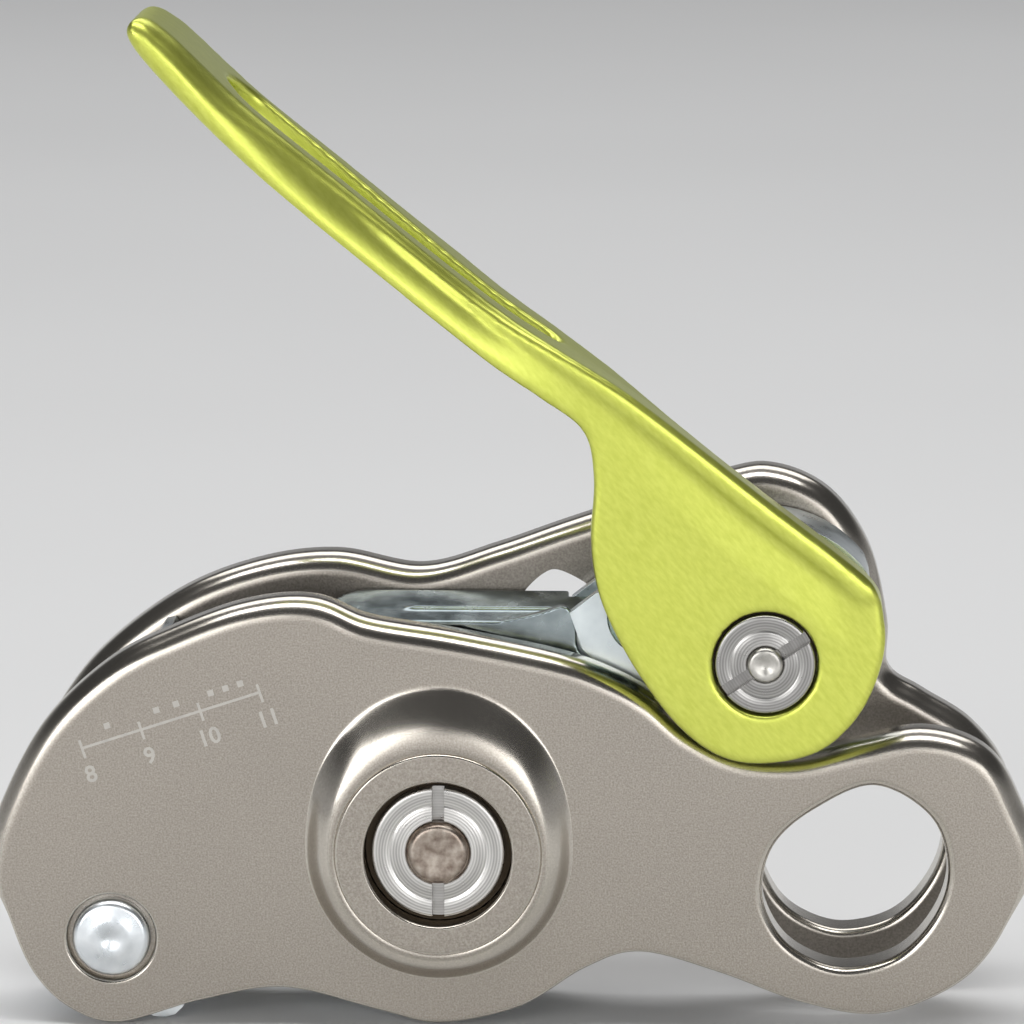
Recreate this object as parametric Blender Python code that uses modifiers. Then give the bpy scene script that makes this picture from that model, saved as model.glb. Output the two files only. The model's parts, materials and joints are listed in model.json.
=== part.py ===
"""Assisted braking belay device: two side plates, a rope cam and a folding release handle.

Frame: +X to the right and +Z up in the front view, +Y away from the viewer.
The origin is the centre of the main axle's front end face.
"""
import math

import bmesh
import bpy
from mathutils import Vector

MM = 0.001
NAME = "belay_device"

# Stack along Y, in mm behind the front plate's flat face
AXLE_PROUD = 2.1
PLATE_T = 2.0
PLATE_GAP = 13.5
BEND_R = 2.4
RIM_DEPTH = 5.0
RIM_EDGE = 1.0
SIDE_GAP = 0.3
RUN_FIT = 0.06
STACK_GAP = 0.1
HAIR = 0.05
BACK_FACE = PLATE_T + PLATE_GAP
GAP_START = PLATE_T + SIDE_GAP
GAP_END = BACK_FACE - SIDE_GAP

# Main axle and its hub, centred on the origin
AXLE_R = 4.0
AXLE_END_R = 2.6
AXLE_END_EDGE = (0.5, 0.35)
AXLE_NECK_R = AXLE_END_R + 0.7
BOSS_R = 11.0
BOSS_HEIGHT = 2.6
BOSS_FOOT_R = 14.0
BOSS_FOOT_TOP = 3.4
BOSS_HOLE_R = 7.8
BOSS_EDGE = 0.3
BOSS_HOLE_EDGE = 0.25
NUT_R = 7.0
NUT_FACE = -1.5
NUT_T = 1.6
NUT_EDGE = 0.2
BUSH_SET_BACK = 0.3
BUSH_FLANGE_R = 9.4
BUSH_FLANGE_T = 0.35
BACK_HOLE_R = 6.0
BACK_WASHER_R = 8.0
BACK_WASHER_T = 0.6
AXLE_HEAD_R = 7.5
AXLE_HEAD_T = 1.7
AXLE_HEAD_EDGE = 0.6
SLOT_W = 1.3
SLOT_DEPTH = 0.8

# Brake pad: its inner face is an arc round the main axle
PAD_R = 30.0
DOWEL_AT = (-PAD_R - 3.2, 11.0)
DOWEL_R = 1.5

# Left rivet
RIVET_AT = (-PAD_R - 4.8, -10.0)
RIVET_R = 2.5
RIVET_HEAD_R = 3.8
RIVET_HEAD_PROUD = 0.9
RIVET_RECESS_R = 4.6
RIVET_RECESS_DEPTH = 1.2
RIVET_RECESS_EDGE = 0.2
RIVET_RECESS_DRAFT = 0.1
RIVET_TAIL = 1.0
RIVET_TAIL_EDGE = 0.4
NOTCH_CLEAR = 0.4
NOTCH_END = 225.0

# Carabiner eye
COLLAR_DEPTH = 4.8
COLLAR_WALL = 1.7
COLLAR_EDGE = 0.9

# Cam
CAM_SIDE = 0.45
CAM_GROOVE = 2.0
CAM_SHOULDER = CAM_GROOVE * 0.75
CAM_BUSH_R = 5.2
CAM_ARM_W = 5.4
CAM_CHAMFER = 0.4
CAM_LIP = 1.6
CAM_GROOVE_HALF = 2.2
SPRING_R = 7.0
SPRING_WIRE = 0.9
SPRING_TURNS = 2.5
SPRING_PITCH = 1.35
SPRING_CLEAR = 0.2
RECESS_R = 8.4
RECESS_DEPTH = 4.6
CAM_WASHER_INSET = 2.2

# Bracket and rope leaf on the cam
BRACKET_T = 1.8
BRACKET_FRONT = 5.4
BRACKET_BACK = 15.0
BRACKET_R = 13.4
BRACKET_WEB = 1.8
BRACKET_RIGHT = 45.2
LEAF_T = 2.2
LEAF_TOP = 25.0
LEAF_FRONT = LEAF_TOP - 1.7
LEAF_SEAT = LEAF_TOP - LEAF_T - 0.4
FLARE_T = 1.4
LEAF_HALF_W = 4.4
LEAF_MID = 10.2
LEAF_ROOT = 20.6
LEAF_TIP = -7.4
LEAF_REACH = 30.0
STUD_AT = (21.8, 25.0)
STUD_R = 4.2
STUD_LENGTH = 4.6
STUD_EDGE = 0.4
BRACKET_RIVETS = {"bracket_rivet_lower": (26.0, 15.4), "bracket_rivet_upper": (25.4, 25.6)}
BRACKET_RIVET_R = 1.3
STOP_PIN_R = 1.5

# Handle, centred on its own axle
HANDLE_AT = (34.2, 21.0)
HANDLE_FRONT = -3.5
CHEEK_T = 3.0
BEAD_H = 0.7
ARM_BACK = 14.5
WEB_T = 2.4
SKIRT_T = 2.2
HANDLE_EDGE = 0.9
HANDLE_NUT_R = 5.1
HANDLE_HOLE_R = HANDLE_NUT_R + 0.4
HANDLE_NUT_T = 1.5
HANDLE_NUT_EDGE = 0.15
HANDLE_NUT_TURN = 34
HANDLE_AXLE_R = 2.5
HANDLE_AXLE_END_R = 1.75
HANDLE_AXLE_PROUD = 0.5
HANDLE_AXLE_EDGE = 0.3
COLLAR_R = 5.0
SLOT_ENDS = ((-21.4, 81.7), (12.6, 53.6))
SLOT_FRONT = 2.6
SLOT_HALF = (4.6, 2.0)
SLOT_REACH = 8.0

# Handle's cutters: how far each starts and ends past the arm, and the wall left at its tip in webs
HOLLOW_START = 6.0
HOLLOW_DROP = 9.0
HOLLOW_TIP = 1.6
BEHIND_STEP = (-2.0, -12.0)
FACE_START = 4.0
FACE_END = 8.0

# How far a cutter reaches past a face, then in metres what welds two points or drops a sliver
PAST = 1.0
WELD = 2e-6
SLIVER = 1e-6

# Outlines in mm, (x, z) from the main axle. In those named LOBE, x is from the pad's inner face.
LOWER_LOBE = [(-16.4, -3.8), (-15.3, -9.0), (-13.0, -14.2), (-9.2, -17.9), (-4.0, -19.3), (4.6, -16.8)]
LOWER_EDGE = [
    (-16.4, -15.3), (-6.3, -17.7), (0.1, -19.0), (8.6, -17.1), (15.5, -12.8), (21.3, -11.0),
    (29.7, -13.2), (38.2, -16.3), (46.7, -17.5), (55.0, -14.0), (59.6, -8.2), (61.2, -1.8),
]
FRONT_TOP_EDGE = [
    (59.2, 4.0), (56.3, 8.9), (51.0, 10.7), (45.3, 9.6), (38.0, 7.9), (31.0, 8.3), (25.4, 11.0),
    (21.2, 14.5), (17.0, 16.8), (11.7, 18.6), (1.2, 20.7), (-8.0, 22.2), (-13.6, 24.3), (-20.0, 23.7),
]
FRONT_LOBE = [(3.0, 21.1), (-3.5, 17.7), (-9.9, 11.5), (-14.3, 3.3)]
BACK_TOP_EDGE = [
    (60.4, 5.0), (56.6, 10.2), (51.3, 13.6), (47.6, 16.2), (47.4, 21.5), (45.4, 29.5), (41.2, 35.4),
    (35.4, 38.1), (29.5, 37.4), (14.3, 32.4), (5.6, 29.3), (-2.6, 27.0), (-11.7, 28.5), (-20.3, 27.4),
]
BACK_LOBE = [(0.9, 23.8), (-7.9, 16.9), (-13.6, 8.8), (-16.8, 2.0)]
PAD_LOBE = [
    (3.4, -16.0), (-3.8, -18.3), (-9.0, -16.9), (-13.0, -12.0), (-15.2, -4.0), (-13.9, 2.6),
    (-11.1, 8.9), (-6.9, 13.8), (-2.6, 17.5), (1.8, 19.8),
]
EYE_EDGE = [
    (34.1, -4.1), (35.5, -8.4), (38.4, -11.2), (43.0, -12.6), (48.5, -11.1), (52.3, -6.8), (53.6, -1.7),
    (51.7, 3.9), (45.8, 7.2), (39.6, 4.6), (35.4, 0.8),
]
WINDOW_EDGE = [(8.0, 24.3), (10.4, 26.9), (12.6, 27.2), (16.2, 24.9), (14.8, 22.6), (9.4, 22.6)]
CAM_EDGE = [
    (13.0, -3.0), (9.6, -10.0), (2.0, -13.6), (-7.0, -14.2), (-14.0, -10.6), (-18.2, -3.0), (-19.0, 5.0),
    (-17.4, 13.6), (-10.6, 18.8), (-1.0, 19.6), (7.6, 17.8), (13.4, 12.6), (15.0, 5.0),
]
CAM_ARM_EDGE = [
    (2.0, 12.0), (6.0, LEAF_SEAT - 1.9), (14.0, LEAF_SEAT - 0.2), (22.0, LEAF_SEAT), (27.4, 26.4),
    (34.2, 28.6), (40.4, 25.4), (41.8, 19.4), (38.4, 14.6), (31.0, 12.4), (24.0, 9.0), (16.0, 3.6),
    (8.0, 2.0),
]
BRACKET_EDGE = [
    (27.4, 9.8), (23.6, 13.4), (18.6, 16.8), (14.9, 20.6), (13.6, 24.4), (16.4, 26.6), (22.0, 27.0),
    (26.8, 29.6), (30.6, 33.4),
]
BRACKET_OPEN = [(42.0, 2.0), (8.0, 2.0), (8.0, 36.0), (26.0, 38.0)]
ARM_TOP_EDGE = [
    (44.6, 29.5), (33.5, 38.2), (21.1, 47.8), (12.8, 53.6), (4.6, 59.2), (-9.8, 70.7), (-20.0, 79.0),
    (-27.2, 86.0),
]
ARM_LOWER_EDGE = [
    (-30.4, 88.3), (-31.7, 86.2), (-28.4, 81.7), (-20.0, 73.3), (-9.3, 64.3), (4.6, 53.1), (10.8, 48.8),
    (15.2, 45.4), (16.3, 40.4), (16.0, 34.1), (16.7, 28.8), (18.6, 24.0), (21.7, 18.7), (25.4, 14.0),
    (29.6, 11.0), (34.3, 10.3), (40.0, 11.7), (44.1, 15.7), (46.3, 21.0), (46.5, 25.6),
]

# Width of the bead below each point of the arm's top edge; below zero there is none
BEAD_WIDTHS = [2.2, 2.2, 1.9, 1.5, 1.1, 0.4, -0.6, -0.8]

# The leaf's flare down to the bracket's nose
FLARE_EDGE = [
    (1.6, LEAF_TOP - LEAF_T + 0.2), (13.25, LEAF_TOP - LEAF_T + 0.2), (14.5, 20.4), (16.0, 18.6),
    (12.4, 19.4), (7.4, 21.2),
]

# Far points that close the outlines of the handle's cutters, outside the handle
HOLLOW_BELOW = [(-12.0, 40.0), (2.0, 2.0), (60.0, 2.0), (60.0, 20.0)]
BEHIND_BELOW = [(0.0, 10.0), (60.0, 2.0), (60.0, 20.0)]
FACE_BELOW = [(-60.0, 60.0), (0.0, 0.0), (70.0, 0.0), (70.0, 10.0)]

# The handle's rear edge in plan (x, y), from past its tip to past its cheek, and a height above it all
ARM_REAR = [
    (-40.0, 1.0), (-32.4, 6.6), (-30.5, 10.2), (-27.5, 12.9), (-22.0, 14.4), (2.0, 14.4), (11.0, 11.6),
    (17.0, 9.3), (23.5, 5.6), (29.3, 4.0), (60.0, 4.0),
]
TALL = 120.0

# Points along the outlines and round the circles
RIM_POINTS = 84
EYE_POINTS = 28
HUB_POINTS = 36
WINDOW_POINTS = 20
CAM_POINTS = 48
CAM_ARM_POINTS = 40
HANDLE_POINTS = 96
ROUND = 32
SMALL_ROUND = 24
COIL_POINTS = 14
CURVE_STEPS = 12
LEAF_END_POINTS = 10
SLOT_END_POINTS = 8
NOTCH_POINTS = 8
PAD_POINTS = 14
BRACKET_ANGLES = range(98, -47, -12)
POCKET_ANGLES = range(110, -56, -12)

# Angles in degrees: where shading turns sharp, which rims are rounded, and what counts as flat
SHARP_ANGLE = 35
RIM_ANGLE = 75
FLAT_ANGLE = 0.1

COLOURS = {
    "plate": ((0.45, 0.40, 0.36, 1.0), 0.35, 1.0),
    "zinc": ((0.62, 0.66, 0.70, 1.0), 0.30, 1.0),
    "steel": ((0.55, 0.54, 0.52, 1.0), 0.28, 1.0),
    "bronze": ((0.42, 0.28, 0.12, 1.0), 0.40, 1.0),
    "lime": ((0.52, 0.62, 0.05, 1.0), 0.38, 0.8),
}


def clear_scene():
    for old in list(bpy.data.objects):
        bpy.data.objects.remove(old, do_unlink=True)


def make_collection(name):
    made = bpy.data.collections.new(name)
    bpy.context.scene.collection.children.link(made)
    return made


def material(slot):
    found = bpy.data.materials.get(slot)
    if found:
        return found
    made = bpy.data.materials.new(slot)
    made.use_nodes = True
    shader = made.node_tree.nodes["Principled BSDF"]
    colour, rough, metal = COLOURS[slot]
    shader.inputs["Base Color"].default_value = colour
    shader.inputs["Roughness"].default_value = rough
    shader.inputs["Metallic"].default_value = metal
    return made


def at(x, y, z):
    """A point in metres from mm: x and z from the main axle, y behind the front plate's face."""
    return Vector((x * MM, (y + AXLE_PROUD) * MM, z * MM))


def smooth_loop(knots, count):
    """Points on a closed Catmull-Rom curve through the knots, evenly spread along its length."""
    fine = []
    total = len(knots)
    for i in range(total):
        p0, p1, p2, p3 = (Vector(knots[(i + k) % total]) for k in (-1, 0, 1, 2))
        for step in range(CURVE_STEPS):
            t = step / CURVE_STEPS
            fine.append(0.5 * (2 * p1 + (p2 - p0) * t + (2 * p0 - 5 * p1 + 4 * p2 - p3) * t * t
                               + (3 * p1 - p0 - 3 * p2 + p3) * t ** 3))
    return resample(fine, count)


def resample(points, count):
    """The closed polyline's points at even steps along it."""
    lengths = [(points[(i + 1) % len(points)] - p).length for i, p in enumerate(points)]
    step = sum(lengths) / count
    out = []
    travelled = 0.0
    for i, p in enumerate(points):
        following = points[(i + 1) % len(points)]
        while len(out) * step < travelled + lengths[i] and len(out) < count:
            t = (len(out) * step - travelled) / lengths[i]
            out.append(p.lerp(following, t))
        travelled += lengths[i]
    return out


def lobe(points):
    """The left lobe's points, which move with the pad."""
    return [(x - PAD_R, z) for x, z in points]


def polar(angle, radius, centre=(0.0, 0.0)):
    """The point at an angle in degrees and a radius round a centre."""
    a = math.radians(angle)
    return Vector((centre[0] + radius * math.cos(a), centre[1] + radius * math.sin(a)))


def circle(radius, count=ROUND, centre=(0.0, 0.0)):
    return [polar(360 * i / count, radius, centre) for i in range(count)]


def outward(points):
    """Unit normals of a counter-clockwise closed outline."""
    out = []
    for i in range(len(points)):
        along = points[(i + 1) % len(points)] - points[i - 1]
        out.append(Vector((along.y, -along.x)).normalized())
    return out


def finish(bm, name, slot, parts, pivot=None):
    """Turn a bmesh in world metres into an object whose origin is the pivot."""
    bmesh.ops.recalc_face_normals(bm, faces=bm.faces)
    if bm.calc_volume(signed=True) < 0:
        bmesh.ops.reverse_faces(bm, faces=bm.faces)
    origin = pivot or at(0, 0, 0)
    bmesh.ops.translate(bm, verts=bm.verts, vec=-origin)
    mesh = bpy.data.meshes.new(name)
    bm.to_mesh(mesh)
    bm.free()
    mesh.shade_smooth()
    mesh.set_sharp_from_angle(angle=math.radians(SHARP_ANGLE))
    made = bpy.data.objects.new(name, mesh)
    made.location = origin
    mesh.materials.append(material(slot))
    parts.objects.link(made)
    return made


def loft(bm, loops):
    """Join closed loops of equal counts with faces and return their vertices."""
    rings = [[bm.verts.new(p) for p in loop] for loop in loops]
    for near, far in zip(rings, rings[1:]):
        for i in range(len(near)):
            j = (i + 1) % len(near)
            bm.faces.new((near[i], near[j], far[j], far[i]))
    return rings


def loop_edges(bm, ring):
    return [bm.edges.get((ring[i - 1], ring[i])) or bm.edges.new((ring[i - 1], ring[i]))
            for i in range(len(ring))]


def fill(bm, rings):
    """Fill one flat face between an outer loop and the loops of its holes."""
    edges = [edge for ring in rings for edge in loop_edges(bm, ring)]
    bmesh.ops.triangle_fill(bm, use_beauty=True, edges=edges, normal=Vector((0, -1, 0)))


def as_mesh(holder, slot, parts, pivot=None):
    """Replace a curve or a modified object by its evaluated mesh, with its loose caps welded."""
    bpy.context.view_layer.update()
    mesh = bpy.data.meshes.new_from_object(holder.evaluated_get(bpy.context.evaluated_depsgraph_get()))
    bm = bmesh.new()
    bm.from_mesh(mesh)
    bm.transform(holder.matrix_world)
    bmesh.ops.remove_doubles(bm, verts=bm.verts, dist=WELD)
    name = holder.name
    bpy.data.objects.remove(holder, do_unlink=True)
    bpy.data.meshes.remove(mesh)
    return finish(bm, name, slot, parts, pivot)


def extruded(name, plan, thickness, centre, turn, slot, parts, pivot=None):
    """A flat outline in mm as a filled 2D curve, extruded by half its thickness each way."""
    curve = bpy.data.curves.new(name, "CURVE")
    curve.dimensions = "2D"
    curve.fill_mode = "BOTH"
    curve.extrude = thickness / 2 * MM
    path = curve.splines.new("POLY")
    path.points.add(len(plan) - 1)
    path.use_cyclic_u = True
    for point, (u, v) in zip(path.points, plan):
        point.co = (u * MM, v * MM, 0, 1)
    holder = bpy.data.objects.new(name, curve)
    holder.location = centre
    holder.rotation_euler = turn
    parts.objects.link(holder)
    return as_mesh(holder, slot, parts, pivot)


def prism(name, outline, y0, y1, slot, parts, pivot=None):
    """An outline (x, z) extruded from y0 to y1."""
    upright = (math.pi / 2, 0, 0)
    return extruded(name, outline, y1 - y0, at(0, (y0 + y1) / 2, 0), upright, slot, parts, pivot)


def flat_slab(name, plan, z0, z1, slot, parts):
    """A plan (x, y) extruded from z0 to z1."""
    return extruded(name, plan, z1 - z0, at(0, 0, (z0 + z1) / 2), (0, 0, 0), slot, parts)


def round_rims(target, width, slot, parts, pivot):
    """Bevel the rims of a prism, whose flat faces are first made whole."""
    bm = bmesh.new()
    bm.from_mesh(target.data)
    bmesh.ops.dissolve_limit(bm, angle_limit=math.radians(FLAT_ANGLE), verts=bm.verts, edges=bm.edges)
    bm.to_mesh(target.data)
    bm.free()
    mod = target.modifiers.new("rims", "BEVEL")
    mod.width = width * MM
    mod.segments = 2
    mod.limit_method = "ANGLE"
    mod.angle_limit = math.radians(RIM_ANGLE)
    mod.use_clamp_overlap = False
    return as_mesh(target, slot, parts, pivot)


def turned(name, profile, centre, slot, parts, pivot=None, count=ROUND):
    """A solid turned about Y through the centre, from (radius, y) points that run towards +Y outside."""
    closed = all(r > 0 for r, _ in profile)
    points = [(r * MM, 0, y * MM) for r, y in reversed(profile)]
    edges = [(i, i + 1) for i in range(len(points) - 1)]
    if closed:
        edges.append((len(points) - 1, 0))
    mesh = bpy.data.meshes.new(name)
    mesh.from_pydata(points, edges, [])
    holder = bpy.data.objects.new(name, mesh)
    holder.location = at(centre[0], 0, centre[1])
    holder.rotation_euler = (-math.pi / 2, 0, 0)
    parts.objects.link(holder)
    screw = holder.modifiers.new("turn", "SCREW")
    screw.steps = count
    screw.render_steps = count
    screw.use_merge_vertices = True
    screw.merge_threshold = WELD
    return as_mesh(holder, slot, parts, pivot)


def ring(name, inner, outer, y0, y1, centre, slot, parts, pivot=None, edge=0.0):
    """A ring, its outer rims chamfered where an edge is given."""
    profile = [(inner, y0), (outer - edge, y0), (outer, y0 + edge), (outer, y1 - edge), (outer - edge, y1),
               (inner, y1)]
    if not edge:
        profile = [(inner, y0), (outer, y0), (outer, y1), (inner, y1)]
    return turned(name, profile, centre, slot, parts, pivot)


def pin(name, radius, y0, y1, centre, slot, parts):
    profile = [(0, y0), (radius, y0), (radius, y1), (0, y1)]
    turned(name, profile, centre, slot, parts, count=SMALL_ROUND)


def drill(target, centre, radius, y0, y1, cutters, count=SMALL_ROUND):
    """Cut a round hole from y0 to y1 and past both."""
    hole = circle(radius, count, centre)
    boolean(target, prism("hole_cutter", hole, y0 - PAST, y1 + PAST, "steel", cutters))


def boolean(target, cutter, operation="DIFFERENCE"):
    """Apply an exact Boolean and remove the cutter."""
    mod = target.modifiers.new(operation.lower(), "BOOLEAN")
    mod.operation = operation
    mod.solver = "EXACT"
    mod.object = cutter
    bpy.context.view_layer.update()
    evaluated = target.evaluated_get(bpy.context.evaluated_depsgraph_get())
    mesh = bpy.data.meshes.new_from_object(evaluated)
    target.modifiers.clear()
    target.data = mesh
    bpy.data.objects.remove(cutter, do_unlink=True)
    clean = bmesh.new()
    clean.from_mesh(mesh)
    bmesh.ops.remove_doubles(clean, verts=clean.verts, dist=WELD)
    bmesh.ops.dissolve_degenerate(clean, edges=clean.edges, dist=SLIVER)
    clean.to_mesh(mesh)
    clean.free()
    mesh.shade_smooth()
    mesh.set_sharp_from_angle(angle=math.radians(SHARP_ANGLE))


def cut_slot(target, centre, radius, face, angle, cutters):
    """Cut a straight screwdriver slot across a disc."""
    along = Vector((math.cos(angle), math.sin(angle)))
    across = Vector((-along.y, along.x)) * SLOT_W / 2
    ends = (Vector(centre) - along * (radius + PAST), Vector(centre) + along * (radius + PAST))
    outline = [ends[0] - across, ends[1] - across, ends[1] + across, ends[0] + across]
    boolean(target, prism("slot_cutter", outline, face - PAST, face + SLOT_DEPTH, "steel", cutters))


def rim_section(weight):
    """Section from the front face round the rim to the rear face, as (outward, depth) in mm.

    Weight 0 is a flat edge and weight 1 a rim rolled away from the viewer.
    """
    flat = [(0, 0), (0.4, 0), (0.78, 0), (RIM_EDGE, 0.22), (RIM_EDGE, PLATE_T - 0.22),
            (0.75, PLATE_T), (0.4, PLATE_T), (0, PLATE_T)]
    arc = [math.radians(a) for a in (0, 30, 60, 90)]
    rolled = [(BEND_R * math.sin(a), BEND_R * (1 - math.cos(a))) for a in arc]
    inner = BEND_R - PLATE_T
    rolled += [(BEND_R, RIM_DEPTH), (inner, RIM_DEPTH), (inner, BEND_R), (0, PLATE_T)]
    return [Vector(f).lerp(Vector(r), weight) for f, r in zip(flat, rolled)]


def rim_weight(z, bottom=-8.0, top=2.0):
    """How far the rim is rolled at height z: flat along the lower edge, rolled along the upper."""
    t = min(1.0, max(0.0, (z - bottom) / (top - bottom)))
    return t * t * (3 - 2 * t)


def rim_loops(edge, face, rolled_inset):
    """Loops round a plate's rim. The upper edge's points lie rolled_inset outside its flat face."""
    outline = smooth_loop(edge, RIM_POINTS)
    normals = outward(outline)
    weights = [rim_weight(p.y) for p in outline]
    base = [p - n * (RIM_EDGE * (1 - w) + rolled_inset * w) for p, n, w in zip(outline, normals, weights)]
    sections = [rim_section(w) for w in weights]
    loops = []
    for k in range(len(sections[0])):
        loop = []
        for p, n, s in zip(base, normals, sections):
            spot = p + n * s[k].x
            loop.append(at(spot.x, face + s[k].y, spot.y))
        loops.append(loop)
    return loops


def eye_loops(face):
    """Loops round the carabiner eye: rounded edge, drawn collar and back to the rear face."""
    edge = smooth_loop(EYE_EDGE, EYE_POINTS)
    normals = outward(edge)
    section = [(COLLAR_EDGE, 0), (COLLAR_EDGE * 0.3, COLLAR_EDGE * 0.3), (0, COLLAR_EDGE),
               (0, COLLAR_DEPTH), (COLLAR_WALL, COLLAR_DEPTH), (COLLAR_WALL, PLATE_T)]
    return [[at(p.x + n.x * o, face + d, p.y + n.y * o) for p, n in zip(edge, normals)] for o, d in section]


def hub_loops(face):
    """Loops of the raised boss: concave foot, crisp shoulder, flat ring and hole."""
    def foot(angle):
        return BOSS_FOOT_R + BOSS_FOOT_TOP * max(0.0, math.sin(angle)) ** 2

    turn = 2 * math.pi / HUB_POINTS
    angles = [i * turn for i in range(HUB_POINTS)]
    rows = [(0.0, 0.0), (0.35, 0.14), (0.7, 0.5), (0.93, 0.88)]
    section = [[(foot(a) + (BOSS_R - foot(a)) * t, -BOSS_HEIGHT * h) for a in angles] for t, h in rows]
    rest = [(BOSS_R - BOSS_EDGE, -BOSS_HEIGHT), (BOSS_HOLE_R + BOSS_HOLE_EDGE, -BOSS_HEIGHT),
            (BOSS_HOLE_R, BOSS_HOLE_EDGE - BOSS_HEIGHT), (BOSS_HOLE_R, PLATE_T)]
    section += [[row] * HUB_POINTS for row in rest]
    return [[at(r * math.cos(a), face + y, r * math.sin(a)) for (r, y), a in zip(row, angles)]
            for row in section]


def hole_loops(radius, face, centre=(0.0, 0.0), count=ROUND, recess=None):
    """Loops of a plain hole, or of one with a round recess at its front."""
    section = [(radius, 0), (radius, PLATE_T)]
    if recess:
        wide, deep = recess
        section = [(wide + RIVET_RECESS_EDGE, 0), (wide, RIVET_RECESS_EDGE),
                   (wide - RIVET_RECESS_DRAFT, deep), (radius, deep), (radius, PLATE_T)]
    return [[at(p.x, face + d, p.y) for p in circle(r, count, centre)] for r, d in section]


def outline_loops(points, face):
    return [[at(p[0], face + d, p[1]) for p in points] for d in (0, PLATE_T)]


def plate(name, features, parts):
    """A plate from its features' loops, each running from the front face to the rear face."""
    bm = bmesh.new()
    rings = [loft(bm, loops) for loops in features]
    fill(bm, [r[0] for r in rings])
    fill(bm, [r[-1] for r in rings])
    return finish(bm, name, "plate", parts)


def make_front_plate(parts):
    recess = (RIVET_RECESS_R, RIVET_RECESS_DEPTH)
    features = [
        rim_loops(lobe(LOWER_LOBE) + LOWER_EDGE + FRONT_TOP_EDGE + lobe(FRONT_LOBE), 0.0, 0.0),
        hub_loops(0.0),
        eye_loops(0.0),
        hole_loops(RIVET_R + RUN_FIT, 0.0, RIVET_AT, SMALL_ROUND, recess),
    ]
    plate("front_plate", features, parts)


def make_back_plate(parts, cutters):
    features = [
        rim_loops(lobe(LOWER_LOBE) + LOWER_EDGE + BACK_TOP_EDGE + lobe(BACK_LOBE), BACK_FACE, BEND_R),
        hole_loops(BACK_HOLE_R + RUN_FIT, BACK_FACE),
        eye_loops(BACK_FACE),
        outline_loops(smooth_loop(WINDOW_EDGE, WINDOW_POINTS), BACK_FACE),
    ]
    made = plate("back_plate", features, parts)
    y1 = BACK_FACE + PLATE_T + PAST
    boolean(made, prism("notch_cutter", notch_outline(), BACK_FACE - PAST, y1, "plate", cutters))


def notch_outline():
    """Arc slot about the main axle, from the left rivet to past the plate's lower edge."""
    reach = Vector(RIVET_AT).length
    half = RIVET_R + NOTCH_CLEAR
    start = math.degrees(math.atan2(RIVET_AT[1], RIVET_AT[0])) % 360
    steps = NOTCH_POINTS
    sweep = [start + (NOTCH_END - start) * i / steps for i in range(steps + 1)]
    outer = [polar(a, reach + half) for a in sweep]
    inner = [polar(a, reach - half) for a in reversed(sweep)]
    cap = [polar(start - 180 + 180 * i / steps, half, RIVET_AT) for i in range(1, steps)]
    return outer + inner + cap


def make_main_axle(parts):
    head_y = BACK_FACE + PLATE_T + BACK_WASHER_T + STACK_GAP
    end = head_y + AXLE_HEAD_T
    neck = NUT_FACE + NUT_T + STACK_GAP
    wider, deeper = AXLE_END_EDGE
    profile = [
        (0, -AXLE_PROUD), (AXLE_END_R, -AXLE_PROUD), (AXLE_END_R + wider, deeper - AXLE_PROUD),
        (AXLE_NECK_R, NUT_FACE), (AXLE_NECK_R, neck), (AXLE_R, neck), (AXLE_R, head_y),
        (AXLE_HEAD_R, head_y), (AXLE_HEAD_R, end - AXLE_HEAD_EDGE), (AXLE_HEAD_R - AXLE_HEAD_EDGE, end),
        (0, end),
    ]
    return turned("main_axle", profile, (0, 0), "steel", parts)


def make_hub(parts, cutters):
    nut_bore = AXLE_NECK_R + RUN_FIT
    nut_end = NUT_FACE + NUT_T
    nut = ring("main_nut", nut_bore, NUT_R, NUT_FACE, nut_end, (0, 0), "steel", parts, edge=NUT_EDGE)
    cut_slot(nut, (0, 0), NUT_R, NUT_FACE, math.pi / 2, cutters)
    hole = BOSS_HOLE_R - RUN_FIT
    bore = AXLE_R + RUN_FIT
    bush_start = nut_end + BUSH_SET_BACK
    flange = PLATE_T + HAIR
    flange_end = flange + BUSH_FLANGE_T
    bush = [(bore, bush_start), (hole, bush_start), (hole, flange), (BUSH_FLANGE_R, flange),
            (BUSH_FLANGE_R, flange_end), (bore, flange_end)]
    turned("hub_bush", bush, (0, 0), "bronze", parts)
    ring("back_bush", bore, BACK_HOLE_R, BACK_FACE, BACK_FACE + PLATE_T, (0, 0), "bronze", parts)
    washer_y = BACK_FACE + PLATE_T + HAIR
    ring("back_washer", bore, BACK_WASHER_R, washer_y, washer_y + BACK_WASHER_T, (0, 0), "steel", parts)


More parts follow.
